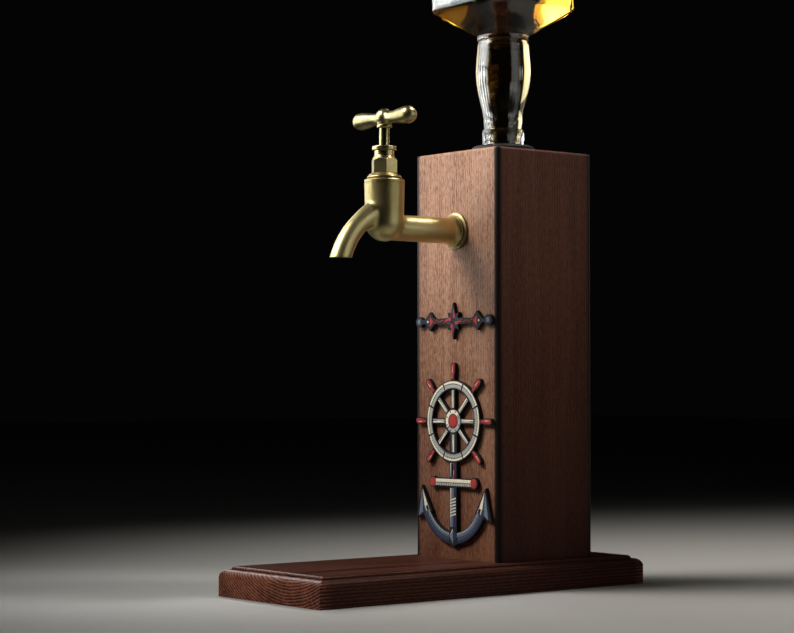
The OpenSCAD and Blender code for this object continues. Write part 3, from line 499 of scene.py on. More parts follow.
class Finish:
    """A material's nodes, with short calls that add and join them."""

    def __init__(self, name):
        self.material = bpy.data.materials.new(name)
        self.material.use_nodes = True
        self.tree = self.material.node_tree
        self.surface = self.tree.nodes["Principled BSDF"]
        self.output = self.tree.nodes["Material Output"]
        self.place = self.tree.nodes.new("ShaderNodeTexCoord").outputs["Object"]

    def set(self, **values):
        """Set constants on the shader's own sockets."""
        for name, value in values.items():
            self.surface.inputs[name.replace("_", " ")].default_value = value

    def join(self, source, target):
        """Join an output to an input."""
        self.tree.links.new(source, target)

    def feed(self, name, source):
        """Join a value to one of the shader's sockets."""
        self.join(source, self.surface.inputs[name])

    def fill(self, socket, value):
        """Fill an input from a socket or with a constant."""
        if isinstance(value, bpy.types.NodeSocket):
            self.join(value, socket)
        elif socket.type == "RGBA":
            socket.default_value = (*value, 1.0)
        else:
            socket.default_value = value

    def node(self, kind, **values):
        """Add a node and fill its inputs."""
        node = self.tree.nodes.new("ShaderNode" + kind)
        for name, value in values.items():
            self.fill(node.inputs[name.replace("_", " ")], value)
        return node

    def mapped(self, scale=(1, 1, 1), rotation=(0, 0, 0), location=(0, 0, 0)):
        """The piece's own coordinates, stretched, turned and moved."""
        node = self.node("Mapping", Scale=scale, Rotation=rotation, Location=location, Vector=self.place)
        return node.outputs["Vector"]

    def parts(self):
        """The piece's own coordinates, one by one."""
        return self.node("SeparateXYZ", Vector=self.place).outputs

    def noise(self, vector, scale, detail=3.0, roughness=0.5, distortion=0.0):
        """Soft noise about a half."""
        node = self.node("TexNoise", Scale=scale, Detail=detail, Roughness=roughness, Distortion=distortion,
                         Vector=vector)
        return node.outputs[0]

    def rings(self, vector, gap, distortion, detail_scale):
        """Growth rings about the vector's Z axis, gap metres apart."""
        node = self.node("TexWave", Scale=WAVE_PERIOD / gap, Distortion=distortion, Detail=2.0,
                         Detail_Scale=detail_scale, Vector=vector)
        node.wave_type = "RINGS"
        node.rings_direction = "Z"
        node.wave_profile = "SAW"
        return node.outputs["Fac"]

    def stripes(self, vector, gap, distortion=0.0):
        """Parallel bands along the vector's X axis, gap metres apart."""
        node = self.node("TexWave", Scale=WAVE_PERIOD / gap, Distortion=distortion, Detail_Scale=2.0,
                         Vector=vector)
        node.wave_type = "BANDS"
        node.bands_direction = "X"
        return node.outputs["Fac"]

    def remap(self, value, low, high, to_low, to_high):
        """A value brought from one range to another."""
        node = self.node("MapRange", From_Min=low, From_Max=high, To_Min=to_low, To_Max=to_high,
                         Value=value)
        return node.outputs["Result"]

    def maths(self, operation, *values):
        """One operation on sockets and constants."""
        node = self.node("Math")
        node.operation = operation
        for socket, value in zip(node.inputs, values):
            self.fill(socket, value)
        return node.outputs["Value"]

    def mix(self, factor, a, b, mode="MIX"):
        """Mix two colours, each a socket or a constant."""
        node = self.node("Mix")
        node.data_type = "RGBA"
        node.blend_type = mode
        ports = (node.inputs["Factor"], node.inputs[6], node.inputs[7])
        for socket, value in zip(ports, (factor, a, b)):
            self.fill(socket, value)
        return node.outputs[2]

    def bump(self, height, strength, distance):
        """Roughen the surface's shading by a height."""
        node = self.node("Bump", Strength=strength, Distance=distance, Height=height)
        self.feed("Normal", node.outputs["Normal"])


# Materials


def wood(name, look, tones, gap, pith, along=UP, rings=0.45, speckle=1.0, gloss=0.50, shine=0.14,
         corners=False, ends=None):
    """Stained wood with its rings about a pith line along Z or Y, broken streaks and open pores."""
    f = Finish(name)
    light, dark = tones
    pulls = (0.05, 0.06, 0.24)
    if along is UP:
        turned, moved = (0, 0, 0), (-pith[0], -pith[1], 0)
        stretches = [(1, 1, pull) for pull in pulls]
    else:
        turned, moved = (math.pi / 2, 0, 0), (-pith[0], pith[1], 0)
        stretches = [(1, pull, 1) for pull in pulls]
    ring_lines = f.rings(f.mapped(stretches[0], turned, moved), gap, 2.4, 0.7)
    broad = f.noise(f.mapped(stretches[1]), 190, 5.0, 0.62, 0.3)
    fine = f.noise(f.mapped(stretches[2]), 900, 5.0, 0.72)
    pores = f.noise(f.mapped(stretches[2]), 1700, 2.0, 0.55)
    blotch = f.noise(f.mapped(stretches[0]), 22, 3.0, 0.6)
    shade = f.maths("MULTIPLY", f.remap(ring_lines, 0.1, 1.0, 0.0, 1.0), rings)
    for layer in (
        f.remap(broad, 0.34, 0.70, -0.05 * speckle, 0.45 * speckle),
        f.remap(fine, 0.36, 0.66, -0.40 * speckle, 0.65 * speckle),
        f.remap(blotch, 0.3, 0.7, -0.30, 0.36),
    ):
        shade = f.maths("ADD", shade, layer)
    early = light
    if ends:
        # Painted light: the early wood lightens towards the base's ends.
        along_base = f.maths("ABSOLUTE", f.parts()[1])
        end_lit = f.remap(along_base, ends - look.end_light_l, ends - look.end_light_l / 10, 0.0, 1.0)
        early = f.mix(end_lit, light, scaled(light, look.end_light))
    open_pores = f.remap(pores, 0.57, 0.69, 0.0, 0.55)
    tone = f.mix(open_pores, f.mix(shade, early, dark), scaled(dark, 0.35))
    if corners:
        # Painted shade: a dark line along each of the column's corners
        x, y, z = f.parts()
        behind = f.maths("ABSOLUTE", f.maths("SUBTRACT", y, COLUMN.y))
        nearness = f.maths("MINIMUM", f.maths("ABSOLUTE", x), behind)
        start = COLUMN.y - FACE_Y - look.corner_w
        line = f.remap(nearness, start, start + look.corner_fade, 0.0, 1.0)
        tone = f.mix(line, tone, look.corner_shade)
        # Painted shade: the column darkens towards its foot.
        tone = f.mix(f.remap(z, look.foot_low, look.foot_high, 1.0, 0.0), tone, look.foot_shade, "MULTIPLY")
    f.feed("Base Color", tone)
    f.feed("Roughness", f.remap(fine, 0.3, 0.7, gloss, gloss + 0.14))
    relief = f.maths("SUBTRACT", f.remap(fine, 0.3, 0.7, 0.0, 0.5), open_pores)
    f.bump(relief, 0.35, 0.00015)
    f.set(Specular_IOR_Level=shine, Coat_Weight=shine * 0.27, Coat_Roughness=0.36)
    return f.material


def brass(name, look, rough, cast=0.0, aged=0.45, dark=None, barrel_shade=0.0):
    """Satin brass with a faint drift of colour and, on a casting, a fine skin and painted shade that
    darkens the barrel.
    """
    f = Finish(name)
    drift = f.noise(f.mapped(), 60, 4.0, 0.6)
    fine = f.noise(f.mapped(), 1800, 2.0, 0.5)
    patina_and_shade = f.remap(drift, 0.40, 0.75, aged * 0.3, aged)
    if barrel_shade:
        # Painted shade: over the barrel, above the pipe, the brass darkens towards the patina colour.
        shade_r, clear_r, rise = 0.0155, 0.0185, 0.012
        x, y, z = f.parts()
        ahead = f.maths("SUBTRACT", y, TAP.y)
        squares = f.maths("ADD", f.maths("POWER", x, 2.0), f.maths("POWER", ahead, 2.0))
        near_axis = f.remap(f.maths("SQRT", squares), shade_r, clear_r, 1.0, 0.0)
        over_pipe = f.remap(z, TAP.z, TAP.z + rise, 0.0, barrel_shade)
        patina_and_shade = f.maths("MAXIMUM", patina_and_shade, f.maths("MULTIPLY", near_axis, over_pipe))
    f.feed("Base Color", f.mix(patina_and_shade, look.brass, dark or look.patina_and_shade))
    f.feed("Roughness", f.remap(drift, 0.3, 0.7, rough, rough + 0.09))
    f.set(Metallic=1.0)
    if cast:
        f.bump(fine, cast, 0.00006)
    return f.material


def plain_steel(look):
    """Turned steel with fine brushing."""
    f = Finish("turned_steel")
    brushing = f.noise(f.mapped((1, 1, 30)), 400, 3.0)
    f.feed("Base Color", f.mix(f.remap(brushing, 0.3, 0.7, 0.0, 0.4), look.steel, scaled(look.steel, 0.6)))
    f.feed("Roughness", f.remap(brushing, 0.3, 0.7, 0.24, 0.42))
    f.set(Metallic=1.0)
    return f.material


def rubber(name, tone):
    """Moulded rubber with a soft sheen."""
    f = Finish(name)
    grain = f.noise(f.mapped(), 1500, 3.0, 0.6)
    f.feed("Base Color", f.mix(f.remap(grain, 0.35, 0.7, 0.0, 1.0), tone, scaled(tone, 1.7)))
    f.feed("Roughness", f.remap(grain, 0.3, 0.7, 0.42, 0.60))
    f.bump(grain, 0.2, 0.00005)
    f.set(Specular_IOR_Level=0.2)
    return f.material


def ink(name, tone, fading):
    """Printed ink with a fine grain and soft drawn strokes; its worn tone is its own times fading."""
    f = Finish(name)
    worn = scaled(tone, fading)
    grain = f.noise(f.mapped(), 1300, 3.0, 0.65)
    drift = f.noise(f.mapped(), 70, 3.0, 0.6)
    strokes = f.stripes(f.mapped(rotation=(0, math.radians(52), 0)), 0.0011, 1.5)
    places = f.remap(drift, 0.46, 0.58, 0.0, 1.0)
    drawn = f.maths("MULTIPLY", f.remap(strokes, 0.62, 0.74, 0.0, 0.5), places)
    shaded = f.mix(drawn, tone, worn)
    f.feed("Base Color", f.mix(f.remap(grain, 0.45, 0.75, 0.0, 0.4), shaded, worn))
    f.feed("Roughness", f.remap(grain, 0.3, 0.7, 0.5, 0.66))
    f.bump(grain, 0.12, 0.00004)
    f.set(Specular_IOR_Level=0.2)
    return f.material


def clear_glass():
    """Bottle glass with a faint waviness."""
    f = Finish("bottle_glass")
    f.set(Base_Color=(0.985, 0.99, 0.98, 1.0), Roughness=0.0, IOR=1.5, Transmission_Weight=1.0)
    f.bump(f.noise(f.mapped(), 70, 2.0, 0.4), 0.03, 0.0006)
    return f.material


def spirit_liquid(form):
    """Golden spirit that darkens with depth."""
    f = Finish("golden_spirit")
    f.set(Base_Color=(1.0, 0.97, 0.90, 1.0), Roughness=0.0, IOR=1.36, Transmission_Weight=1.0)
    depth = f.node("VolumeAbsorption", Color=form.spirit, Density=form.spirit_depth)
    f.join(depth.outputs["Volume"], f.output.inputs["Volume"])
    return f.material


def pale_floor(tone):
    """Plain pale floor."""
    f = Finish("pale_floor")
    grain = f.noise(f.mapped(), 6, 3.0, 0.5)
    f.feed("Base Color", f.mix(f.remap(grain, 0.3, 0.7, 0.0, 0.25), tone, scaled(tone, 0.93)))
    f.set(Roughness=0.55)
    return f.material


# Tap


def spout_angles(tap):
    """Angles on the spout's curve, from its top: root, middle and mouth."""
    root = math.asin(tap.spout_back / tap.spout_arc_r)
    mouth = math.acos((tap.spout_arc_r - tap.spout_rise - tap.mouth_drop) / tap.spout_arc_r)
    return root, (root + mouth) / 2, mouth


def spout_radius(tap, a):
    """Radius of the spout's outside at angle a on its curve."""
    root, mid, mouth = spout_angles(tap)
    taper = 1.6
    to_root = max(0.0, (mid - a) / (mid - root)) ** taper
    to_mouth = max(0.0, (a - mid) / (mouth - mid)) ** taper
    return (tap.spout_mid_d + (tap.spout_root_d - tap.spout_mid_d) * to_root
            + (tap.spout_mouth_d - tap.spout_mid_d) * to_mouth) / 2


def spout_centre(tap):
    """Centre of the spout's curve."""
    return TAP + BACK * tap.spout_back + UP * (tap.spout_rise - tap.spout_arc_r)


def swing(tap, a):
    """A turn by the angle a about the centre of the spout's curve."""
    centre = spout_centre(tap)
    return Matrix.Translation(centre) @ Matrix.Rotation(a, 4, "X") @ Matrix.Translation(-centre)


def sweep(bm, ring, tap, start, stop, steps):
    """Lead a ring along the spout's curve from one angle to another and close its end."""
    centre = spout_centre(tap)
    angles = between(start, stop, steps)
    for a, b in zip(angles, angles[1:]):
        bend = swing(tap, b - a)
        turned = Matrix.Rotation(b, 3, "X")
        middle = centre + turned @ (UP * tap.spout_arc_r)
        forward = turned @ -BACK

        def place(co):
            out = bend @ co - middle
            out -= forward * out.dot(forward)
            return middle + out.normalized() * spout_radius(tap, b)
        ring = next_ring(bm, ring, place)
    bmesh.ops.edgeloop_fill(bm, edges=ring)


def spout(bm, tap, past):
    """The spout's skin, from its root to a little past its mouth."""
    root, _, mouth = spout_angles(tap)
    start = Matrix.Translation(spout_centre(tap)) @ Matrix.Rotation(root, 4, "X")
    start = start @ Matrix.Translation(UP * tap.spout_arc_r) @ Matrix.Rotation(math.pi / 2, 4, "X")
    made = bmesh.ops.create_circle(bm, segments=48, radius=spout_radius(tap, root), matrix=start)
    ring = list({edge for vert in made["verts"] for edge in vert.link_edges})
    bmesh.ops.edgeloop_fill(bm, edges=ring)
    sweep(bm, ring, tap, root, mouth + past, 36)


def hollow_mouth(bm, tap, steps=14):
    """Cut the spout level, and lead its bore up the curve from the cut."""
    lip = cut(bm, TAP - UP * tap.mouth_drop, -UP)
    corners = {vert for edge in lip for vert in edge.verts}
    middle = sum((vert.co for vert in corners), Vector()) / len(corners)
    inwards = tap.spout_bore_d / tap.spout_mouth_d
    ring = next_ring(bm, lip, lambda co: middle + (co - middle) * inwards)
    _, mid, mouth = spout_angles(tap)
    bend = swing(tap, (mid - mouth) / steps)
    for _ in range(steps):
        ring = next_ring(bm, ring, lambda co: bend @ co)
    bmesh.ops.edgeloop_fill(bm, edges=ring)


class DISPENSER_OT_tap_casting(bpy.types.Operator):
    """Model the tap's cast body: barrel, inlet pipe with its bell and tail, and curved spout"""

    bl_idname = "dispenser.tap_casting"
    bl_label = "Tap casting"

    def execute(self, context):
        tap = context.scene.dispenser_tap
        reach = FLANGE_LOW.y - TAP.y
        low_r = tap.barrel_low_d / 2
        rim_r = tap.barrel_d / 2
        pipe_r = tap.pipe_d / 2
        bell_r = tap.bell_d / 2
        top = tap.barrel_up
        foot_z = low_r - tap.barrel_down
        past = math.radians(9)
        bm = bmesh.new()
        turn(bm, arc((0, foot_z), low_r, -90, 0, 12) + [(rim_r, top), (0, top)], TAP)
        turn(bm, [(0, 0), (pipe_r, 0), (pipe_r, reach), (0, reach)], TAP, BACK)
        spout(bm, tap, past)
        close(bm)
        bm = fused(bm, tap.cell)
        smooth(bm, bm.verts[:], 8)
        round_joins(bm, 60, 5)
        smooth(bm, bm.verts[:], 18)

        clear = math.radians(43)
        turned = Matrix.Rotation(clear, 3, "X")
        ring = cut(bm, spout_centre(tap) + turned @ (UP * tap.spout_arc_r), turned @ -BACK)
        sweep(bm, ring, tap, clear, spout_angles(tap)[2] + past, 26)
        hollow_mouth(bm, tap)

        # Depths under the rim: end of the fused skin, then the first and last ring on its slope
        skin_depth, first_depth, last_depth = 0.008, 0.0065, 0.004
        ring = cut(bm, TAP + UP * (top - skin_depth), UP)
        step_z = top - tap.rim_h
        notch = 0.0003
        chamber_r = tap.chamber_d / 2
        crown_r = tap.crown_d / 2
        crown_top = tap.floor_up + tap.crown_h
        seat_r = tap.seat_bore_d / 2
        seat_depth = 0.002
        edge_w, edge_h = 0.0004, 0.0005
        slope = (rim_r - low_r) / (top - foot_z)
        heights = between(top - first_depth, top - last_depth, 2)
        rim = [(low_r + slope * (z - foot_z), z) for z in heights]
        rim += [(rim_r, step_z - notch), (rim_r - notch, step_z - notch / 3),
                (rim_r - notch, step_z + notch / 3), (rim_r, step_z + notch), (rim_r, top - edge_h),
                (rim_r - edge_w, top), (chamber_r, top), (chamber_r, tap.floor_up),
                (crown_r, tap.floor_up), (crown_r, crown_top), (seat_r, crown_top),
                (seat_r, -seat_depth)]
        bmesh.ops.edgeloop_fill(bm, edges=lead(bm, ring, rim, TAP))

        skin_end, pipe_start = rim_r + 0.005, rim_r + 0.0065
        ring = cut(bm, TAP + BACK * skin_end, BACK)
        lip = 0.001
        thread_h = 0.0006
        tail_r = tap.tail_d / 2 - thread_h
        tail_wall, tail_bore_l = 0.004, 0.03
        tail_bore_r = tail_r - tail_wall
        tail_end = FACE_Y + tap.tail_l - TAP.y
        bell_low = reach - 1.87 * lip - tap.bell_l
        swell = bell_r - lip / 2 - pipe_r
        flare = [(pipe_r, pipe_start)]
        flare += [(pipe_r + swell * t ** 2.2, bell_low + tap.bell_l * t) for t in between(0, 1, 10)]
        flare += arc((bell_r - lip, reach - lip), lip, -50, 90, 9)
        flare += [(tail_r, reach), (tail_r, tail_end - thread_h), (tail_r - thread_h, tail_end),
                  (tail_bore_r, tail_end), (tail_bore_r, tail_end - tail_bore_l)]
        bmesh.ops.edgeloop_fill(bm, edges=lead(bm, ring, flare, TAP, BACK))
        bmesh.ops.recalc_face_normals(bm, faces=bm.faces)
        screw = bmesh.new()
        thread_gap, pitch, turns = 0.004, 0.0018, 16
        thread(screw, TAP + BACK * (reach + thread_gap), tail_r, thread_h, pitch, turns, BACK)
        bmesh.ops.recalc_face_normals(screw, faces=screw.faces)
        add(bm, screw)
        # Painted shade darkens the casting's barrel.
        cast = brass("cast_brass", context.scene.dispenser_metal, 0.33, 0.08, barrel_shade=0.75)
        finish_piece(bm, "tap_casting", [cast], "stand", ["tap_body"])
        return {"FINISHED"}


def chamfered_hexagon(head, planes=24):
    """A hexagon whose upper corners are turned off by a cone."""
    bm = bmesh.new()
    corner_r = head.hex_af / 2 / math.cos(math.radians(30))
    made = bmesh.ops.create_circle(
        bm, segments=6, radius=corner_r, cap_ends=True, matrix=Matrix.Translation(TAP + UP * head.hex_low)
    )
    faces = list({face for vert in made["verts"] for face in vert.link_faces})
    raised = bmesh.ops.extrude_face_region(bm, geom=faces)["geom"]
    tops = [vert for vert in raised if isinstance(vert, bmesh.types.BMVert)]
    bmesh.ops.translate(bm, verts=tops, vec=UP * (head.hex_high - head.hex_low))
    slope_out = corner_r - head.hex_top_d / 2
    top = TAP + UP * head.hex_high
    for i in range(planes):
        out = Matrix.Rotation(2 * math.pi * i / planes, 3, "Z") @ RIGHT
        ring = cut(bm, top + out * head.hex_top_d / 2, out * head.hex_chamfer_h + UP * slope_out)
        bmesh.ops.holes_fill(bm, edges=ring)
    close(bm)
    soften(bm, 0.00022, math.radians(20), 2)
    return bm


class DISPENSER_OT_tap_head(bpy.types.Operator):
    """Model the tap's wall flange, bonnet and gland nut"""

    bl_idname = "dispenser.tap_head"
    bl_label = "Tap head"

    def execute(self, context):
        tap = context.scene.dispenser_tap
        head = context.scene.dispenser_head
        look = context.scene.dispenser_metal
        satin = brass("turned_brass", look, 0.25, 0.0, 0.9)
        flange_r = (FLANGE_HIGH.x - FLANGE_LOW.x) / 2
        low, high = FLANGE_LOW.y - TAP.y, FLANGE_HIGH.y - TAP.y
        inner_r = tap.tail_d / 2 + 0.0003
        step = 0.0006
        rose = lathe([(inner_r, low), (flange_r - 2 * step, low), (flange_r - 0.0008, low + step),
                      (flange_r, low + step), (flange_r, high), (inner_r, high)], TAP, 0.0004, BACK, 96)
        # The rose's brass is darkened towards the nearly black brass, partly as painted shade.
        aged = brass("aged_brass", look, 0.42, 0.2, 0.9, look.tarnish_and_shade)
        even_normals(finish_piece(rose, "wall_rose", [aged], "stand", ["wall_flange"]))

        bm = bmesh.new()
        rod_r = head.rod_d / 2 + 0.0001
        spigot_r = tap.chamber_d / 2 - 0.0001
        spigot_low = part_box("bonnet")[0].z - TAP.z
        collar_r = head.collar_low_d / 2
        collar_top = head.hex_low + 0.0002
        turn(bm, [(rod_r, spigot_low), (spigot_r, spigot_low), (spigot_r, head.collar_up),
                  (collar_r, head.collar_up), (collar_r, head.collar_up + 0.0008),
                  (head.collar_top_d / 2, head.hex_low - 0.0003), (head.hex_af / 2 - 0.0006, collar_top),
                  (rod_r, collar_top)], TAP, closed=True)
        neck_r = head.neck_d / 2
        flare_r = neck_r + 0.0010
        neck_low = head.hex_high - 0.0004
        turn(bm, [(rod_r, neck_low), (flare_r, neck_low), (flare_r, head.hex_high + 0.0005),
                  (neck_r, head.hex_high + 0.0014), (neck_r, head.gland_low), (rod_r, head.gland_low)],
             TAP, closed=True)
        close(bm)
        soften(bm, 0.0003)
        add(bm, chamfered_hexagon(head))
        even_normals(finish_piece(bm, "bonnet_turned", [satin], "stand", ["bonnet"]))

        nose_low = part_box("gland_nut")[0].z - TAP.z
        nose_r = neck_r - 0.0014
        gland_r = head.gland_d / 2
        gland = lathe([(rod_r, nose_low), (nose_r, nose_low), (nose_r, head.gland_low),
                       (gland_r, head.gland_low), (gland_r, head.gland_high),
                       (rod_r + 0.0010, head.gland_high), (rod_r, head.gland_high - 0.0006)],
                      TAP, 0.00045, steps=96)
        even_normals(finish_piece(gland, "gland_ring", [satin], "stand", ["gland_nut"]))
        return {"FINISHED"}


def arm_radius(head, x):
    """Radius of the handle's arm at the distance x from the hub's axis."""
    start = head.hub_d / 2
    t = max(0.0, x - start) / (head.span / 2 - start)
    return (head.arm_d + (head.end_d - head.arm_d) * ease(t)) / 2


def drill(bm, centre, radius, depth):
    """Open a round hole in the hub's back and line it down to a depth from the hub's axis."""
    opened = []
    for vert in bm.verts:
        out = vert.co - centre
        if out.y > depth and math.hypot(out.x, out.z) < radius + 0.0002:
            opened.append(vert)
    bmesh.ops.delete(bm, geom=opened, context="VERTS")
    ring = open_edges(bm)
    for vert in {vert for edge in ring for vert in edge.verts}:
        out = vert.co - centre
        level = BACK * out.y
        vert.co = centre + level + (out - level).normalized() * radius
    bmesh.ops.edgeloop_fill(bm, edges=lead(bm, ring, [(radius, depth)], centre, BACK))


def socket_place(centre, width, height):
    """Where a ring's vertices go on a hexagon across its flats, square to the Y axis."""

    def place(co):
        out = co - centre
        bearing = math.atan2(out.z, out.x)
        off = (bearing + math.pi / 6) % (math.pi / 3) - math.pi / 6
        reach = width / 2 / math.cos(off)
        aside = RIGHT * (reach * math.cos(bearing)) + UP * (reach * math.sin(bearing))
        return centre + BACK * height + aside

    return place


class DISPENSER_OT_handle(bpy.types.Operator):
    """Model the spindle, the cast T-handle and its grub screw"""

    bl_idname = "dispenser.handle"
    bl_label = "Spindle and handle"

    def execute(self, context):
        head = context.scene.dispenser_head
        look = context.scene.dispenser_metal
        bm = bmesh.new()
        rod_low, rod_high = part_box("spindle")
        low, high = rod_low.z - TAP.z, rod_high.z - TAP.z
        thread_h = 0.0005
        thread_r = (rod_high.x - rod_low.x) / 2 - thread_h
        thread_top = low + 0.022
        rod_r = head.rod_d / 2
        turn(bm, [(0, low), (thread_r, low), (thread_r, thread_top), (rod_r, thread_top + 0.0006),
                  (rod_r, high), (0, high)], TAP, steps=64)
        close(bm)
        soften(bm, 0.0003)
        thread_gap, pitch, turns = 0.002, 0.003, 6
        thread(bm, TAP + UP * (low + thread_gap), thread_r, thread_h, pitch, turns)
        bmesh.ops.recalc_face_normals(bm, faces=bm.faces)
        polished = brass("polished_brass", look, 0.13)
        finish_piece(bm, "spindle_rod", [polished], "spindle_and_handle", ["spindle"])

        bm = bmesh.new()
        hub_r = head.hub_d / 2
        foot_r = head.hub_foot_d / 2
        dome = arc((0, head.hub_high - hub_r), hub_r, -38, 90, 14)
        dome_low = head.hub_low + 0.0012
        turn(bm, [(0, dome_low), (foot_r, dome_low)] + dome, TAP)
        end = head.span / 2
        neck = [(arm_radius(head, x), x) for x in between(0, end, 16)]
        tip = arc((0, 0), head.end_d / 2, 0, 90, 8)
        for side in (RIGHT, -RIGHT):
            turn(bm, [(0, 0)] + neck + [(r, end + h) for r, h in tip[1:]], TAP + UP * head.bar_up, side)
        close(bm)
        bm = fused(bm, head.cell)
        smooth(bm, bm.verts[:], 6)
        round_joins(bm, 80, 5)
        smooth(bm, bm.verts[:], 12)
        screw_low, screw_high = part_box("handle_grub_screw")
        screw_r = (screw_high.x - screw_low.x) / 2
        centre = Vector((TAP.x, TAP.y, (screw_low.z + screw_high.z) / 2))
        depth = screw_low.y - TAP.y
        drill(bm, centre, screw_r + 0.00015, depth)
        foot_low, foot_top = head.hub_low, head.hub_low + 0.0022
        foot = [(rod_r, foot_low), (foot_r, foot_low), (foot_r, foot_top), (rod_r, foot_top)]
        add(bm, lathe(foot, TAP, 0.0005))
        # Painted shade: the handle's brass is darkened towards the nearly black brass.
        cast = brass("handle_brass", look, 0.29, 0.08, 0.8, look.tarnish_and_shade)
        finish_piece(bm, "handle_cast", [cast], "spindle_and_handle", ["t_handle"])

        bm = bmesh.new()
        end = screw_high.y - TAP.y
        edge = 0.0003
        turn(bm, [(0, depth), (screw_r, depth), (screw_r, end - edge), (screw_r - edge, end)],
             centre, BACK, 48)
        close(bm)
        ring = open_edges(bm)
        socket_w, socket_depth = 0.0022, 0.0011
        for level in (end, end - socket_depth):
            ring = next_ring(bm, ring, socket_place(centre, socket_w, level))
        bmesh.ops.edgeloop_fill(bm, edges=ring)
        bmesh.ops.recalc_face_normals(bm, faces=bm.faces)
        steel = plain_steel(look)
        finish_piece(bm, "grub_screw", [steel], "spindle_and_handle", ["handle_grub_screw"])
        return {"FINISHED"}


# Bottle


def neck_outline(form, wall=0.0, steps=24):
    """Outline of the neck, from the transfer ring to the shoulder, drawn in by a wall."""

    def radius(z):
        if z < form.flare_z:
            rise = ((z - form.ring_h) / (form.flare_z - form.ring_h)) ** 3
            return (form.neck_low_d + (form.flare_d - form.neck_low_d) * rise) / 2
        if z < form.swell_z:
            rise = math.sin(math.pi / 2 * (z - form.flare_z) / (form.swell_z - form.flare_z))
            return (form.flare_d + (form.swell_d - form.flare_d) * rise) / 2
        fall = ease((z - form.swell_z) / (form.bead_z - form.swell_z))
        return (form.swell_d - (form.swell_d - form.neck_top_d) * fall) / 2

    return [(radius(z) - wall, z) for z in between(form.ring_h, form.bead_z, steps)]


def body_ring(bm, centre, width, chamfer, z):
    """A square ring with cut corners, finely divided along its sides."""
    half = width / 2
    turned = math.atan2(half - chamfer, half)
    made = bmesh.ops.create_circle(bm, segments=8, radius=half, matrix=Matrix.Translation(centre + UP * z))
    for i, vert in enumerate(made["verts"]):
        quarter, second = divmod(i, 2)
        bearing = quarter * math.pi / 2 + (turned if second else -turned)
        vert.co = centre + UP * z + Matrix.Rotation(bearing, 3, "Z") @ (RIGHT * half / math.cos(turned))
    edges = list({edge for vert in made["verts"] for edge in vert.link_edges})
    sides = [edge for edge in edges if edge.calc_length() > chamfer * 2]
    corners = [edge for edge in edges if edge not in sides]
    bmesh.ops.subdivide_edges(bm, edges=sides, cuts=15)
    bmesh.ops.subdivide_edges(bm, edges=corners, cuts=3)
    return bm.edges[:]


def bottle_skin(base, width, chamfer, neck, body_low, top, foot):
    """A bottle's skin: a square ring drawn up to its foot, and drawn in and down to its mouth."""
    bm = bmesh.new()
    ring = body_ring(bm, base, width, chamfer, body_low)

    def round_place(radius, z):
        def place(co):
            out = Vector((co.x - base.x, co.y - base.y, 0)).normalized()
            return base + out * radius + UP * z
        return place

    upper = next_ring(bm, ring, lambda co: Vector((co.x, co.y, base.z + top)))
    for radius, z in foot:
        upper = next_ring(bm, upper, round_place(radius, z))
    bmesh.ops.edgeloop_fill(bm, edges=upper)
    lower = ring
    for radius, z in reversed(neck):
        lower = next_ring(bm, lower, round_place(radius, z))
    return bm


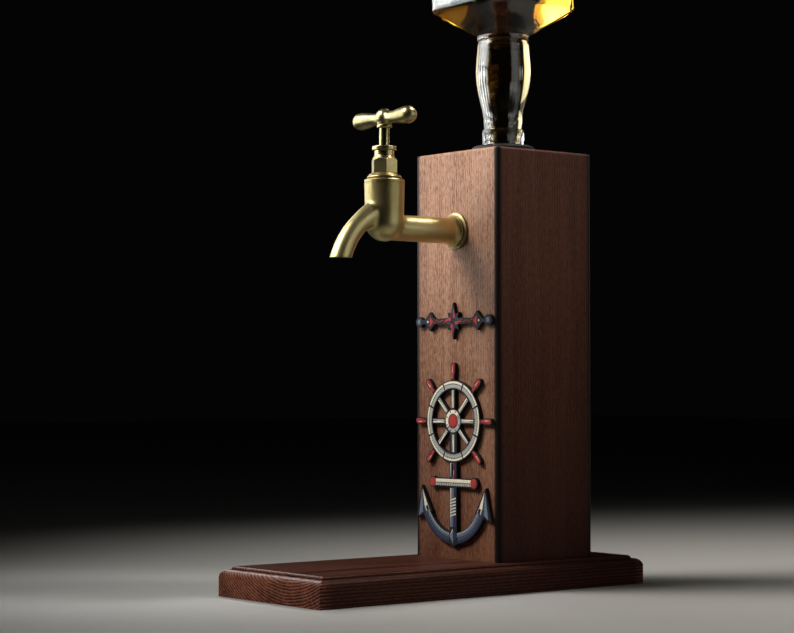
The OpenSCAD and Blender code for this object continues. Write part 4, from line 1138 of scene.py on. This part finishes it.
class DISPENSER_OT_bottle(bpy.types.Operator):
    """Model the glass bottle, neck down, and the spirit in it"""

    bl_idname = "dispenser.bottle"
    bl_label = "Bottle and spirit"

    def execute(self, context):
        form = context.scene.dispenser_bottle
        base = COLUMN + UP * (BOTTLE_LOW.z + form.finish_h)
        width = BOTTLE_HIGH.x - BOTTLE_LOW.x
        top = BOTTLE_HIGH.z - base.z
        thread_h = 0.0009
        finish_r = form.finish_d / 2 - thread_h
        mouth_r = form.mouth_d / 2
        ring_r = form.ring_d / 2
        groove_r = form.neck_low_d / 2 - 0.0007
        outside = [(mouth_r + 0.0012, -form.finish_h), (finish_r, -form.finish_h), (finish_r, 0.0),
                   (ring_r, 0.0), (ring_r, form.ring_h), (groove_r, form.ring_h + 0.0001),
                   (groove_r, form.ring_h + 0.0008)]
        neck_low, neck_high = form.ring_h + 0.001, form.bead_z - 0.0012
        outside += [(r, z) for r, z in neck_outline(form) if neck_low < z < neck_high]
        neck_r = form.neck_top_d / 2
        bead_r = form.bead_d / 2
        groove_r = neck_r - 0.0008
        outside += [(groove_r, form.bead_z - 0.0009), (groove_r, form.bead_z - 0.0003),
                    (bead_r - 0.0004, form.bead_z), (bead_r, form.bead_z + 0.0005),
                    (bead_r, form.shoulder_z - 0.0002), (neck_r, form.shoulder_z + 0.0004)]
        punt_r = form.punt_d / 2
        foot = [(punt_r + 0.003, top), (punt_r, top - 0.0004)]
        foot += [(punt_r * math.cos(t), top - form.punt_h * math.sin(t)) for t in between(0.25, 1.45, 6)]
        bm = bottle_skin(base, width, form.chamfer, outside, form.body_z, top, foot)
        close(bm)
        body_low = base.z + form.body_z - 0.0005
        soften(bm, form.heel_r, math.radians(60), 4, lambda co: co.z > base.z + top - 0.0001)
        soften(bm, form.edge_r, math.radians(20), 3, lambda co: body_low < co.z < base.z + top - 0.006)
        soften(bm, 0.00025, math.radians(30), 2, lambda co: co.z < base.z + form.shoulder_z + 0.0005)

        inner_w = width - 2 * form.wall
        inner_c = form.chamfer - form.wall * (2 - math.sqrt(2))
        inner_r = 0.003
        inner_low = form.body_z + form.wall / 2
        inner_top = top - form.foot_t
        inner_edge = base.z + inner_low - 0.0005
        centre_r = 0.03

        def bore(grow, mouth_z):
            neck = [(mouth_r + grow, mouth_z), (mouth_r + grow, form.ring_h / 2)]
            neck += [(max(mouth_r, r) + grow, z) for r, z in neck_outline(form, form.neck_wall)]
            return neck + [(neck_r - form.neck_wall + grow, form.shoulder_z + form.wall)]

        throat = bore(0.0, -form.finish_h)
        inside = bottle_skin(base, inner_w, inner_c, throat, inner_low, inner_top, [(centre_r, inner_top)])
        close(inside)
        soften(inside, inner_r, math.radians(20), 3, lambda co: co.z > inner_edge)
        bmesh.ops.reverse_faces(inside, faces=inside.faces)
        add(bm, inside)
        bmesh.ops.bridge_loops(bm, edges=open_edges(bm))
        thread_down, pitch, turns = 0.014, 0.0042, 2.2
        thread(bm, base - UP * thread_down, finish_r, thread_h, pitch, turns)
        finish_piece(bm, "glass_bottle", [clear_glass()], "bottle", ["bottle"])

        bite = 0.0001
        fill = form.fill_z
        throat = bore(bite, 0.001 - form.finish_h)
        liquid = bottle_skin(base, inner_w + 2 * bite, inner_c, throat, inner_low, fill, [(centre_r, fill)])
        bmesh.ops.edgeloop_fill(liquid, edges=open_edges(liquid))
        close(liquid)
        surface = base.z + fill - 0.001
        soften(liquid, inner_r, math.radians(20), 3, lambda co: inner_edge < co.z < surface)
        finish_piece(liquid, "spirit", [spirit_liquid(form)], "bottle")
        return {"FINISHED"}


class DISPENSER_OT_neck_seat(bpy.types.Operator):
    """Model the rubber seat that the bottle's neck stands in"""

    bl_idname = "dispenser.neck_seat"
    bl_label = "Neck seat"

    def execute(self, context):
        form = context.scene.dispenser_bottle
        column_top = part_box("column_front")[1].z
        flange_r = (SEAT_HIGH.x - SEAT_LOW.x) / 2
        bore_r = form.finish_d / 2 + 0.0003
        sleeve_r = bore_r + 0.003
        low, high = SEAT_LOW.z - column_top, SEAT_HIGH.z - column_top
        outline = [(bore_r, low), (sleeve_r, low), (sleeve_r, 0), (flange_r, 0), (flange_r, high - 0.0016),
                   (flange_r - 0.0022, high), (bore_r + 0.0016, high), (bore_r, high - 0.0012)]
        seat = lathe(outline, COLUMN + UP * column_top, 0.0007, UP, 96, math.radians(25), 4)
        black = rubber("seat_rubber", (0.010, 0.009, 0.008))
        even_normals(finish_piece(seat, "rubber_seat", [black], "stand", ["neck_seat"]))
        return {"FINISHED"}


# Printed cut-outs

CREAM, SHADE, SLATE, NAVY, RED, BLACK = range(6)

# Depth of the ink under a cut-out's face
INK_BITE = 0.00004

# Each ink's worn tone as a multiple of its own tone
FADINGS = {"cream": 0.72, "shade": 0.7, "slate": 0.55, "navy": 0.5, "red": 0.5, "black": 1.9}


def inks(look):
    """The six inks, in the order of their numbers."""
    return [ink(name + "_ink", getattr(look, name), fading) for name, fading in FADINGS.items()]


class Sheet:
    """Patches of ink laid on a cut-out's face, about a centre on it."""

    def __init__(self, look, centre_z):
        self.bm = bmesh.new()
        self.look = look
        self.centre = Vector((0, EMBLEM_LOW.y + INK_BITE, centre_z))

    def patch(self, outline, tone, turned=0.0, about=(0, 0), over=0):
        """A flat patch with the outline's (x, z) corners, turned about a point, over other inks or not."""
        spin = Matrix.Rotation(turned, 2)
        pivot = Vector(about)
        corners = [pivot + spin @ (Vector(point) - pivot) for point in outline]
        face = self.bm.faces.new([self.bm.verts.new(self.centre + Vector((x, 0, z))) for x, z in corners])
        face.material_index = tone
        raised = bmesh.ops.extrude_face_region(self.bm, geom=[face])["geom"]
        verts = [vert for vert in raised if isinstance(vert, bmesh.types.BMVert)]
        rise = self.look.ink_t * (1 + over / 2) + INK_BITE
        bmesh.ops.translate(self.bm, verts=verts, vec=-BACK * rise)

    def bar(self, left, right, low, high, tone, turned=0.0, about=(0, 0)):
        """A patch with four square corners."""
        self.patch([(left, low), (right, low), (right, high), (left, high)], tone, turned, about)

    def stroke(self, foot, tip, width, tone, turned=0.0, about=(0, 0)):
        """A pen stroke that tapers from its foot to its tip, over the other inks."""
        along = Vector(tip) - Vector(foot)
        aside = along.orthogonal().normalized() * (width / 2)
        self.patch([Vector(foot) - aside, Vector(foot) + aside, tip], tone, turned, about, 1)

    def shading(self, centre, r_from, r_to, start, end, count, width, tone, reach=None):
        """Strokes across a band between two arcs, each for a share of the way that its bearing gives."""
        for i in range(count):
            bearing = math.radians(start + (end - start) * (i + 0.5) / count)
            share = (reach(bearing) if reach else 0.6) * (0.75 + 0.25 * math.sin(i * 2.4))
            points = []
            for radius, lean in ((r_from, 0.0), (r_from + (r_to - r_from) * share, 0.035)):
                points.append((centre[0] + radius * math.cos(bearing + lean),
                               centre[1] + radius * math.sin(bearing + lean)))
            self.stroke(*points, width, tone)

    def band(self, centre, r_in, r_out, start, end, tone, steps=10):
        """A patch between two arcs, with angles in degrees."""
        self.patch(arc(centre, r_out, start, end, steps) + arc(centre, r_in, end, start, steps), tone)

    def disc(self, centre, radius, tone, over=0):
        """A round patch."""
        self.patch(arc(centre, radius, 0, 350, 35), tone, over=over)

    def lay(self, name, materials):
        """Make the patches one piece on the stand."""
        bmesh.ops.recalc_face_normals(self.bm, faces=self.bm.faces)
        return finish_piece(self.bm, name, materials, "stand")


def shadow_side(bearing):
    """How far a stroke reaches on a round form lit from the upper left."""
    return 0.25 + 0.65 * (0.5 - 0.5 * math.cos(bearing - math.radians(125)))


def wheel_inks(sheet, look):
    """Inks of the wheel: rim, spokes, hub and turned grips."""
    line = look.line
    hub = (0, look.wheel_up)
    x, z = hub
    rim_out = look.rim_r - line
    rim_in = look.rim_r - look.rim_w + line
    rim_mid = (rim_out + rim_in) / 2 + line
    step = 360 / look.spokes
    half = look.spoke_w / 2 - line
    joint = math.degrees(line / look.rim_r)
    inner, outer = z + look.hub_r + line, z + look.rim_r - look.rim_w - line
    foot, end = z + look.rim_r + line * 1.5, z + look.wheel_r - 0.0024
    waist = foot + (look.wheel_r - look.rim_r) * 0.36
    boss_r = look.hub_r * 0.62
    for i in range(look.spokes):
        start, stop = 90 + (i - 0.5) * step + joint, 90 + (i + 0.5) * step - joint
        sheet.band(hub, rim_mid, rim_out, start, stop, CREAM)
        sheet.band(hub, rim_in, rim_mid - line * 0.7, start, stop, SHADE)
        sheet.shading(hub, rim_mid, rim_out, start + 1, stop - 1, 9, 0.00045, SLATE, shadow_side)
        sheet.shading(hub, rim_in, rim_mid - line, start + 1, stop - 1, 11, 0.0005, BLACK, shadow_side)
        spin = math.radians(i * step)
        sheet.bar(x - half, x + half * 0.2, inner, outer, CREAM, spin, hub)
        sheet.bar(x + half * 0.4, x + half, inner, outer, SHADE, spin, hub)
        sheet.stroke((x - half * 0.3, inner), (x - half * 0.5, inner + 0.006), 0.0005, SLATE, spin, hub)
        sheet.stroke((x + half * 0.1, outer), (x - half * 0.1, outer - 0.007), 0.0005, BLACK, spin, hub)
        tip = arc((x, end), 0.0016, 20, 160, 8)
        sheet.patch([(x - 0.0010, foot), (x + 0.0010, foot), (x + 0.0018, waist), (x + 0.0016, end), *tip,
                     (x - 0.0016, end), (x - 0.0018, waist)], RED, spin, hub)
        sheet.stroke((x - 0.0006, waist), (x - 0.0008, end + 0.0006), 0.0006, CREAM, spin, hub)
        sheet.stroke((x + 0.0011, foot), (x + 0.0012, end), 0.0008, BLACK, spin, hub)
        bolt = math.radians(90 + (i + 0.5) * step)
        bolt_r = look.hub_r * 0.80
        sheet.disc((x + bolt_r * math.cos(bolt), z + bolt_r * math.sin(bolt)), 0.0006, BLACK, 1)
    sheet.band(hub, boss_r, look.hub_r - line, 40, 216, CREAM, 24)
    sheet.band(hub, boss_r, look.hub_r - line, 224, 396, SHADE, 24)
    sheet.disc(hub, boss_r - line, RED)
    sheet.shading(hub, look.hub_r * 0.58 - line, 0.001, 230, 400, 9, 0.0006, BLACK)


def anchor_inks(sheet, look):
    """Inks of the anchor: shank with its rope, stock, arms, crown and flukes."""
    line = look.line
    half = look.shank_w / 2 - line
    low = look.arm_w + 0.006
    stock_low = look.stock_up - look.stock_w / 2 - line
    stock_high = look.stock_up + look.stock_w / 2 + line
    ring_low = look.wheel_up - look.rim_r - line
    for bottom, top in ((low, stock_low), (stock_high, ring_low)):
        sheet.bar(-half, 0.0006, bottom, top, SLATE)
        sheet.bar(0.0012, half, bottom, top, NAVY)
        sheet.stroke((-half + 0.0007, top), (-half + 0.0004, bottom), 0.0007, CREAM)
        sheet.stroke((0.0002, bottom), (-0.0004, top), 0.0007, BLACK)
    strand, rise = 0.0007, 0.0016
    for i in range(6):
        z = low + 0.0075 + i * 0.0023
        for tone in (CREAM, SHADE):
            corners = [(-half, z), (half, z + rise), (half, z + rise + strand), (-half, z + strand)]
            sheet.patch(corners, tone, over=1)
            z += strand
        sheet.stroke((half, z + rise + 0.0001), (-half, z + 0.0001), 0.0006, BLACK)
    end = look.stock_l / 2 - look.stock_w * 0.5
    deep = look.stock_w / 2 - line
    up = look.stock_up
    sheet.bar(-end, end, up, up + deep, CREAM)
    sheet.bar(-end, end, up - deep, up - line * 0.7, SHADE)
    for i in range(15):
        x = end * (i - 7) / 7.6
        shadow = up - deep * (0.1 + 0.3 * math.sin(i * 2.4))
        shine = up + deep * (0.45 + 0.2 * math.sin(i * 1.9))
        sheet.stroke((x, up - deep), (x + 0.0007, shadow), 0.0006, BLACK)
        sheet.stroke((x + 0.0008, up), (x + 0.0012, shine), 0.0004, SLATE)
    for side in (-1, 1):
        knob = (side * look.stock_l / 2, up)
        sheet.disc(knob, look.stock_w * 0.66 - line, RED)
        sheet.shading(knob, look.stock_w * 0.60 - line, 0.0006, 250, 390, 6, 0.0006, BLACK)
    arms = (0, look.anchor_r + 0.002)
    mid = look.anchor_r - look.arm_w / 2
    arm_in = look.anchor_r - look.arm_w + line
    arm_out = look.anchor_r - line
    for start, stop in ((200, 262), (278, 340)):
        sheet.band(arms, mid + line / 2, arm_out, start, stop, NAVY, 20)
        sheet.band(arms, arm_in, mid - line / 2, start, stop, SLATE, 20)
        sheet.shading(arms, mid + line / 2, arm_out, start, stop, 22, 0.0006, SLATE)
        sheet.shading(arms, mid - line, arm_in, start, stop, 22, 0.0006, BLACK)
        sheet.shading(arms, arm_in, mid - line, start, stop, 18, 0.0005, CREAM)
    sheet.patch([(-0.0003, 0.0022), (-0.0003, 0.0135), (-0.0042, 0.0078)], SLATE)
    sheet.patch([(0.0003, 0.0022), (0.0042, 0.0078), (0.0003, 0.0135)], NAVY)
    sheet.stroke((-0.0006, 0.0126), (-0.0032, 0.0080), 0.0006, CREAM)
    for side in (-1, 1):
        foot = (side * (look.anchor_r + 0.0012), look.anchor_r * 0.56)
        point = (side * (look.anchor_r - 0.0022), look.anchor_r * 1.08)
        heel = (side * (look.anchor_r - 0.0108), look.anchor_r * 0.68)
        rib = (side * (look.anchor_r - 0.0052), look.anchor_r * 0.66)
        sheet.patch([foot, point, (rib[0] + side * line, rib[1])], SLATE)
        sheet.patch([(rib[0] - side * line, rib[1]), (point[0] - side * line, point[1]), heel], CREAM)
        for i in range(6):
            t = (i + 0.6) / 7
            edge = Vector(rib).lerp(Vector(point), t)
            sheet.stroke(edge, edge.lerp(Vector(foot).lerp(Vector(point), t + 0.05), 0.7), 0.0006, BLACK)
            sheet.stroke(edge, edge.lerp(Vector(heel).lerp(Vector(point), t), 0.55), 0.0006, SLATE)


class DISPENSER_OT_emblem(bpy.types.Operator):
    """Print the emblem on the column's front: a wheel over an anchor"""

    bl_idname = "dispenser.emblem"
    bl_label = "Emblem"

    def execute(self, context):
        look = context.scene.dispenser_print
        sheet = Sheet(look, EMBLEM_LOW.z)
        wheel_inks(sheet, look)
        anchor_inks(sheet, look)
        sheet.lay("emblem_print", inks(look))
        dress("emblem_plate", ink("black_ground", look.black, FADINGS["black"]))
        return {"FINISHED"}


class DISPENSER_OT_ornament(bpy.types.Operator):
    """Print the ornament over the emblem: a star between two bars"""

    bl_idname = "dispenser.ornament"
    bl_label = "Ornament"

    def execute(self, context):
        look = context.scene.dispenser_print
        sheet = Sheet(look, (ORNAMENT_LOW.z + ORNAMENT_HIGH.z) / 2)
        inner = look.star_r * 0.32 * 0.72
        long = look.star_r * 0.78
        star_edge = look.star_r * 0.45
        corner, gap = inner * 0.9, 0.0003
        for i in range(4):
            turned = i * math.pi / 2
            sheet.patch([(gap, inner * 0.6), (corner, corner), (gap, long)], RED, turned)
            sheet.patch([(-gap, inner * 0.6), (-gap, long), (-corner, corner)], NAVY, turned)
        reach = (ORNAMENT_HIGH.x - ORNAMENT_LOW.x) / 2
        diamond = look.star_r * 0.74 * 0.5
        wide, tall = diamond * 0.8, diamond * 0.7
        mid = reach * 0.62
        split = mid + 0.0006
        for side, turned in ((1, 0.0), (-1, math.pi)):
            sheet.patch([(mid - wide, 0), (mid, -wide), (mid, wide)], RED, turned)
            sheet.patch([(mid + wide, 0), (split, tall), (split, -tall)], NAVY, turned)
            sheet.disc((side * (mid + diamond * 0.45), 0), 0.0007, CREAM, 1)
            knob = (side * (reach - 0.004), 0)
            sheet.disc(knob, 0.0021, SLATE)
            sheet.shading(knob, 0.002, 0.0005, 230, 400, 6, 0.0005, BLACK)
            for i in range(7):
                x = star_edge + (mid - diamond - star_edge) * (i + 0.3) / 7
                z = 0.0008 * math.sin(i * 2.2)
                sheet.stroke((x, z), (x + 0.0024, z + 0.0005 * math.sin(i * 1.3)), 0.0009, RED, turned)
        sheet.lay("ornament_print", inks(look))
        dress("ornament_plate", ink("black_edge", look.black, FADINGS["black"]))
        return {"FINISHED"}


# Wood and hidden pieces


class DISPENSER_OT_wood(bpy.types.Operator):
    """Finish the base plank, the column's boards and its blocks"""

    bl_idname = "dispenser.wood"
    bl_label = "Wood"

    def execute(self, context):
        look = context.scene.dispenser_wood
        piths = {
            "column_front": (0.17, 0.06),
            "column_right": (0.08, 0.26),
            "column_back": (-0.16, 0.10),
            "column_left": (-0.07, -0.14),
            "column_top_block": (0.09, 0.12),
        }
        for node, pith in piths.items():
            # Painted shade: boards other than the front take the darker stain
            tones, rings, speckle = (look.shaded_side_stain, look.shaded_side_dark), 0.62, 0.75
            if node == "column_front":
                tones, rings, speckle = (look.front_stain, look.front_dark), 0.45, 1.0
            stained = wood(node + "_wood", look, tones, look.column_rings, pith, UP, rings, speckle,
                           corners=True)
            dress(node, stained)
        base_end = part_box("base_plank")[1].y
        tones = (look.base_stain, look.base_dark)
        stained = wood("base_wood", look, tones, look.base_rings, (0.022, 0.088), BACK, rings=1.0,
                       speckle=0.65, gloss=0.28, shine=0.07, ends=base_end)
        dress("base_plank", stained)
        tones = (look.raw_light, look.raw_dark)
        dress("column_foot_block", wood("raw_wood", look, tones, look.column_rings, (0.05, 0.2)))
        return {"FINISHED"}


class DISPENSER_OT_inner_pieces(bpy.types.Operator):
    """Finish the pieces inside the column and the tap"""

    bl_idname = "dispenser.inner_pieces"
    bl_label = "Inner pieces"

    def execute(self, context):
        look = context.scene.dispenser_metal
        steel = plain_steel(look)
        rough_brass = brass("inner_brass", look, 0.34, 0.2)
        black_rubber = rubber("washer_rubber", (0.025, 0.025, 0.025))
        red_fibre = rubber("washer_fibre", (0.07, 0.028, 0.016))
        finishes = {
            steel: ("base_screws", "feed_cup"),
            rough_brass: ("feed_elbow", "back_nut", "jumper", "washer_nut"),
            black_rubber: ("cup_washer", "back_washer", "gland_packing", "tap_washer"),
            red_fibre: ("bonnet_washer",),
        }
        for material, nodes in finishes.items():
            for node in nodes:
                dress(node, material)
        return {"FINISHED"}


# Stage

WHITE = (1.0, 1.0, 1.0)
COOL = (0.93, 0.97, 1.0)
NECK = (0.0, 0.080, 0.375)

# Soft boxes: name, place, the point that each one faces, size, spread in degrees and tint
SOFT_BOXES = [
    ("key", (-0.42, -0.62, 1.10), (0.0, 0.02, 0.43), (0.90, 0.60), 42, (1.0, 0.96, 0.91)),
    ("left", (-0.70, -0.50, 0.75), (0.0, 0.064, 0.46), (0.85, 0.34), 90, COOL),
    ("face", (-0.72, -0.52, 0.53), (0.0, 0.02, 0.45), (0.24, 0.16), 60, COOL),
]
SOFT_BOXES += [
    ("band", (x, y, z), NECK, (0.28, 0.26), 15, COOL)
    for x, y in ((-0.60, -0.72), (-0.82, -0.50), (-0.95, -0.23)) for z in (0.26, 0.46)
]
SOFT_BOXES += [
    ("grey", (x, y, 0.20), NECK, (0.34, 0.30), 15, WHITE)
    for x, y in ((1.0, 0.05), (0.95, 0.38), (0.77, 0.70))
]
SOFT_BOXES += [
    ("neck", (-0.85, 0.00, 0.44), (0.0, 0.064, 0.38), (0.55, 0.50), 60, WHITE),
    ("side", (1.05, 0.38, 0.56), (0.0, 0.06, 0.38), (0.75, 0.80), 110, WHITE),
    ("top", (0.26, 0.41, 1.14), (0.0, -0.03, 0.275), (0.22, 0.30), 16, WHITE),
    ("spout", (0.85, -0.01, 0.54), (0.0, -0.10, 0.245), (0.08, 0.10), 7, WHITE),
    ("head", (0.61, 0.62, 0.45), (0.0, -0.049, 0.335), (0.20, 0.20), 14, WHITE),
    ("gold", (0.66, 0.446, 1.22), (0.0, 0.064, 0.44), (0.35, 0.35), 24, WHITE),
    ("rim", (-0.97, 0.11, 0.67), (0.0, -0.15, 0.02), (0.30, 0.30), 24, WHITE),
    ("back", (0.05, 1.20, 0.60), (0.0, 0.06, 0.42), (0.30, 1.10), 70, (1.0, 0.90, 0.66)),
]


def soft_box(name, place, target, size, radiance, spread, tint):
    """A rectangular area light that faces a point, with a grid that narrows its spread."""
    light = bpy.data.lights.new(name, "AREA")
    light.shape = "RECTANGLE"
    light.size, light.size_y = size
    half = math.radians(spread) / 2
    light.energy = radiance * math.pi * size[0] * size[1] * (1 - half / math.tan(half))
    light.color = tint
    light.spread = 2 * half
    lamp = bpy.data.objects.new(name, light)
    lamp.location = place
    lamp.visible_camera = False
    lamp.rotation_euler = (Vector(target) - Vector(place)).to_track_quat("-Z", "Y").to_euler()
    bpy.context.scene.collection.objects.link(lamp)


class DISPENSER_OT_stage(bpy.types.Operator):
    """Set the camera, the pale floor and the soft lights"""

    bl_idname = "dispenser.stage"
    bl_label = "Stage"

    def execute(self, context):
        scene = context.scene
        setup = scene.dispenser_stage
        camera = bpy.data.cameras.new("photo_view")
        camera.lens = setup.lens
        camera.sensor_width = 36.0
        camera.clip_end = 50.0
        viewer = bpy.data.objects.new("photo_view", camera)
        viewer.location = setup.camera_at
        viewer.rotation_euler = (setup.camera_tilt, 0, setup.camera_turn)
        scene.collection.objects.link(viewer)
        scene.camera = viewer

        bm = bmesh.new()
        bmesh.ops.create_grid(bm, x_segments=8, y_segments=8, size=6.0)
        mesh = bpy.data.meshes.new("floor")
        bm.to_mesh(mesh)
        bm.free()
        mesh.materials.append(pale_floor(setup.floor))
        floor = bpy.data.objects.new("floor", mesh)
        scene.collection.objects.link(floor)

        world = bpy.data.worlds.new("room")
        world.use_nodes = True
        world.node_tree.nodes["Background"].inputs["Color"].default_value = (*setup.room, 1.0)
        scene.world = world
        scene.view_settings.view_transform = "Standard"
        for name, place, target, size, spread, tint in SOFT_BOXES:
            soft_box(name + "_box", place, target, size, getattr(setup, name + "_glow"), spread, tint)
        return {"FINISHED"}


class VIEW3D_PT_dispenser(bpy.types.Panel):
    """Lists the steps that dress the dispenser"""

    bl_label = "Spirit dispenser"
    bl_idname = "VIEW3D_PT_dispenser"
    bl_space_type = "VIEW_3D"
    bl_region_type = "UI"
    bl_category = "Dispenser"

    def draw(self, context):
        for operator in OPERATORS:
            self.layout.operator(operator.bl_idname)


GROUPS = {
    "dispenser_wood": WoodLook,
    "dispenser_metal": MetalLook,
    "dispenser_tap": TapForm,
    "dispenser_head": HeadForm,
    "dispenser_bottle": BottleForm,
    "dispenser_print": PrintLook,
    "dispenser_stage": StageSetup,
}
OPERATORS = (
    DISPENSER_OT_stage,
    DISPENSER_OT_wood,
    DISPENSER_OT_tap_casting,
    DISPENSER_OT_tap_head,
    DISPENSER_OT_handle,
    DISPENSER_OT_neck_seat,
    DISPENSER_OT_bottle,
    DISPENSER_OT_emblem,
    DISPENSER_OT_ornament,
    DISPENSER_OT_inner_pieces,
)


def register():
    """Register the groups, the operators and the panel."""
    for group in GROUPS.values():
        bpy.utils.register_class(group)
    for name, group in GROUPS.items():
        setattr(bpy.types.Scene, name, PointerProperty(type=group))
    for operator in OPERATORS:
        bpy.utils.register_class(operator)
    bpy.utils.register_class(VIEW3D_PT_dispenser)


def unregister():
    """Take out what register put in."""
    bpy.utils.unregister_class(VIEW3D_PT_dispenser)
    for operator in reversed(OPERATORS):
        bpy.utils.unregister_class(operator)
    for name in GROUPS:
        delattr(bpy.types.Scene, name)
    for group in reversed(GROUPS.values()):
        bpy.utils.unregister_class(group)


def main():
    """Register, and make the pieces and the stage."""
    register()
    bpy.ops.dispenser.stage()
    bpy.ops.dispenser.wood()
    bpy.ops.dispenser.tap_casting()
    bpy.ops.dispenser.tap_head()
    bpy.ops.dispenser.handle()
    bpy.ops.dispenser.neck_seat()
    bpy.ops.dispenser.bottle()
    bpy.ops.dispenser.emblem()
    bpy.ops.dispenser.ornament()
    bpy.ops.dispenser.inner_pieces()


if __name__ == "__main__":
    main()
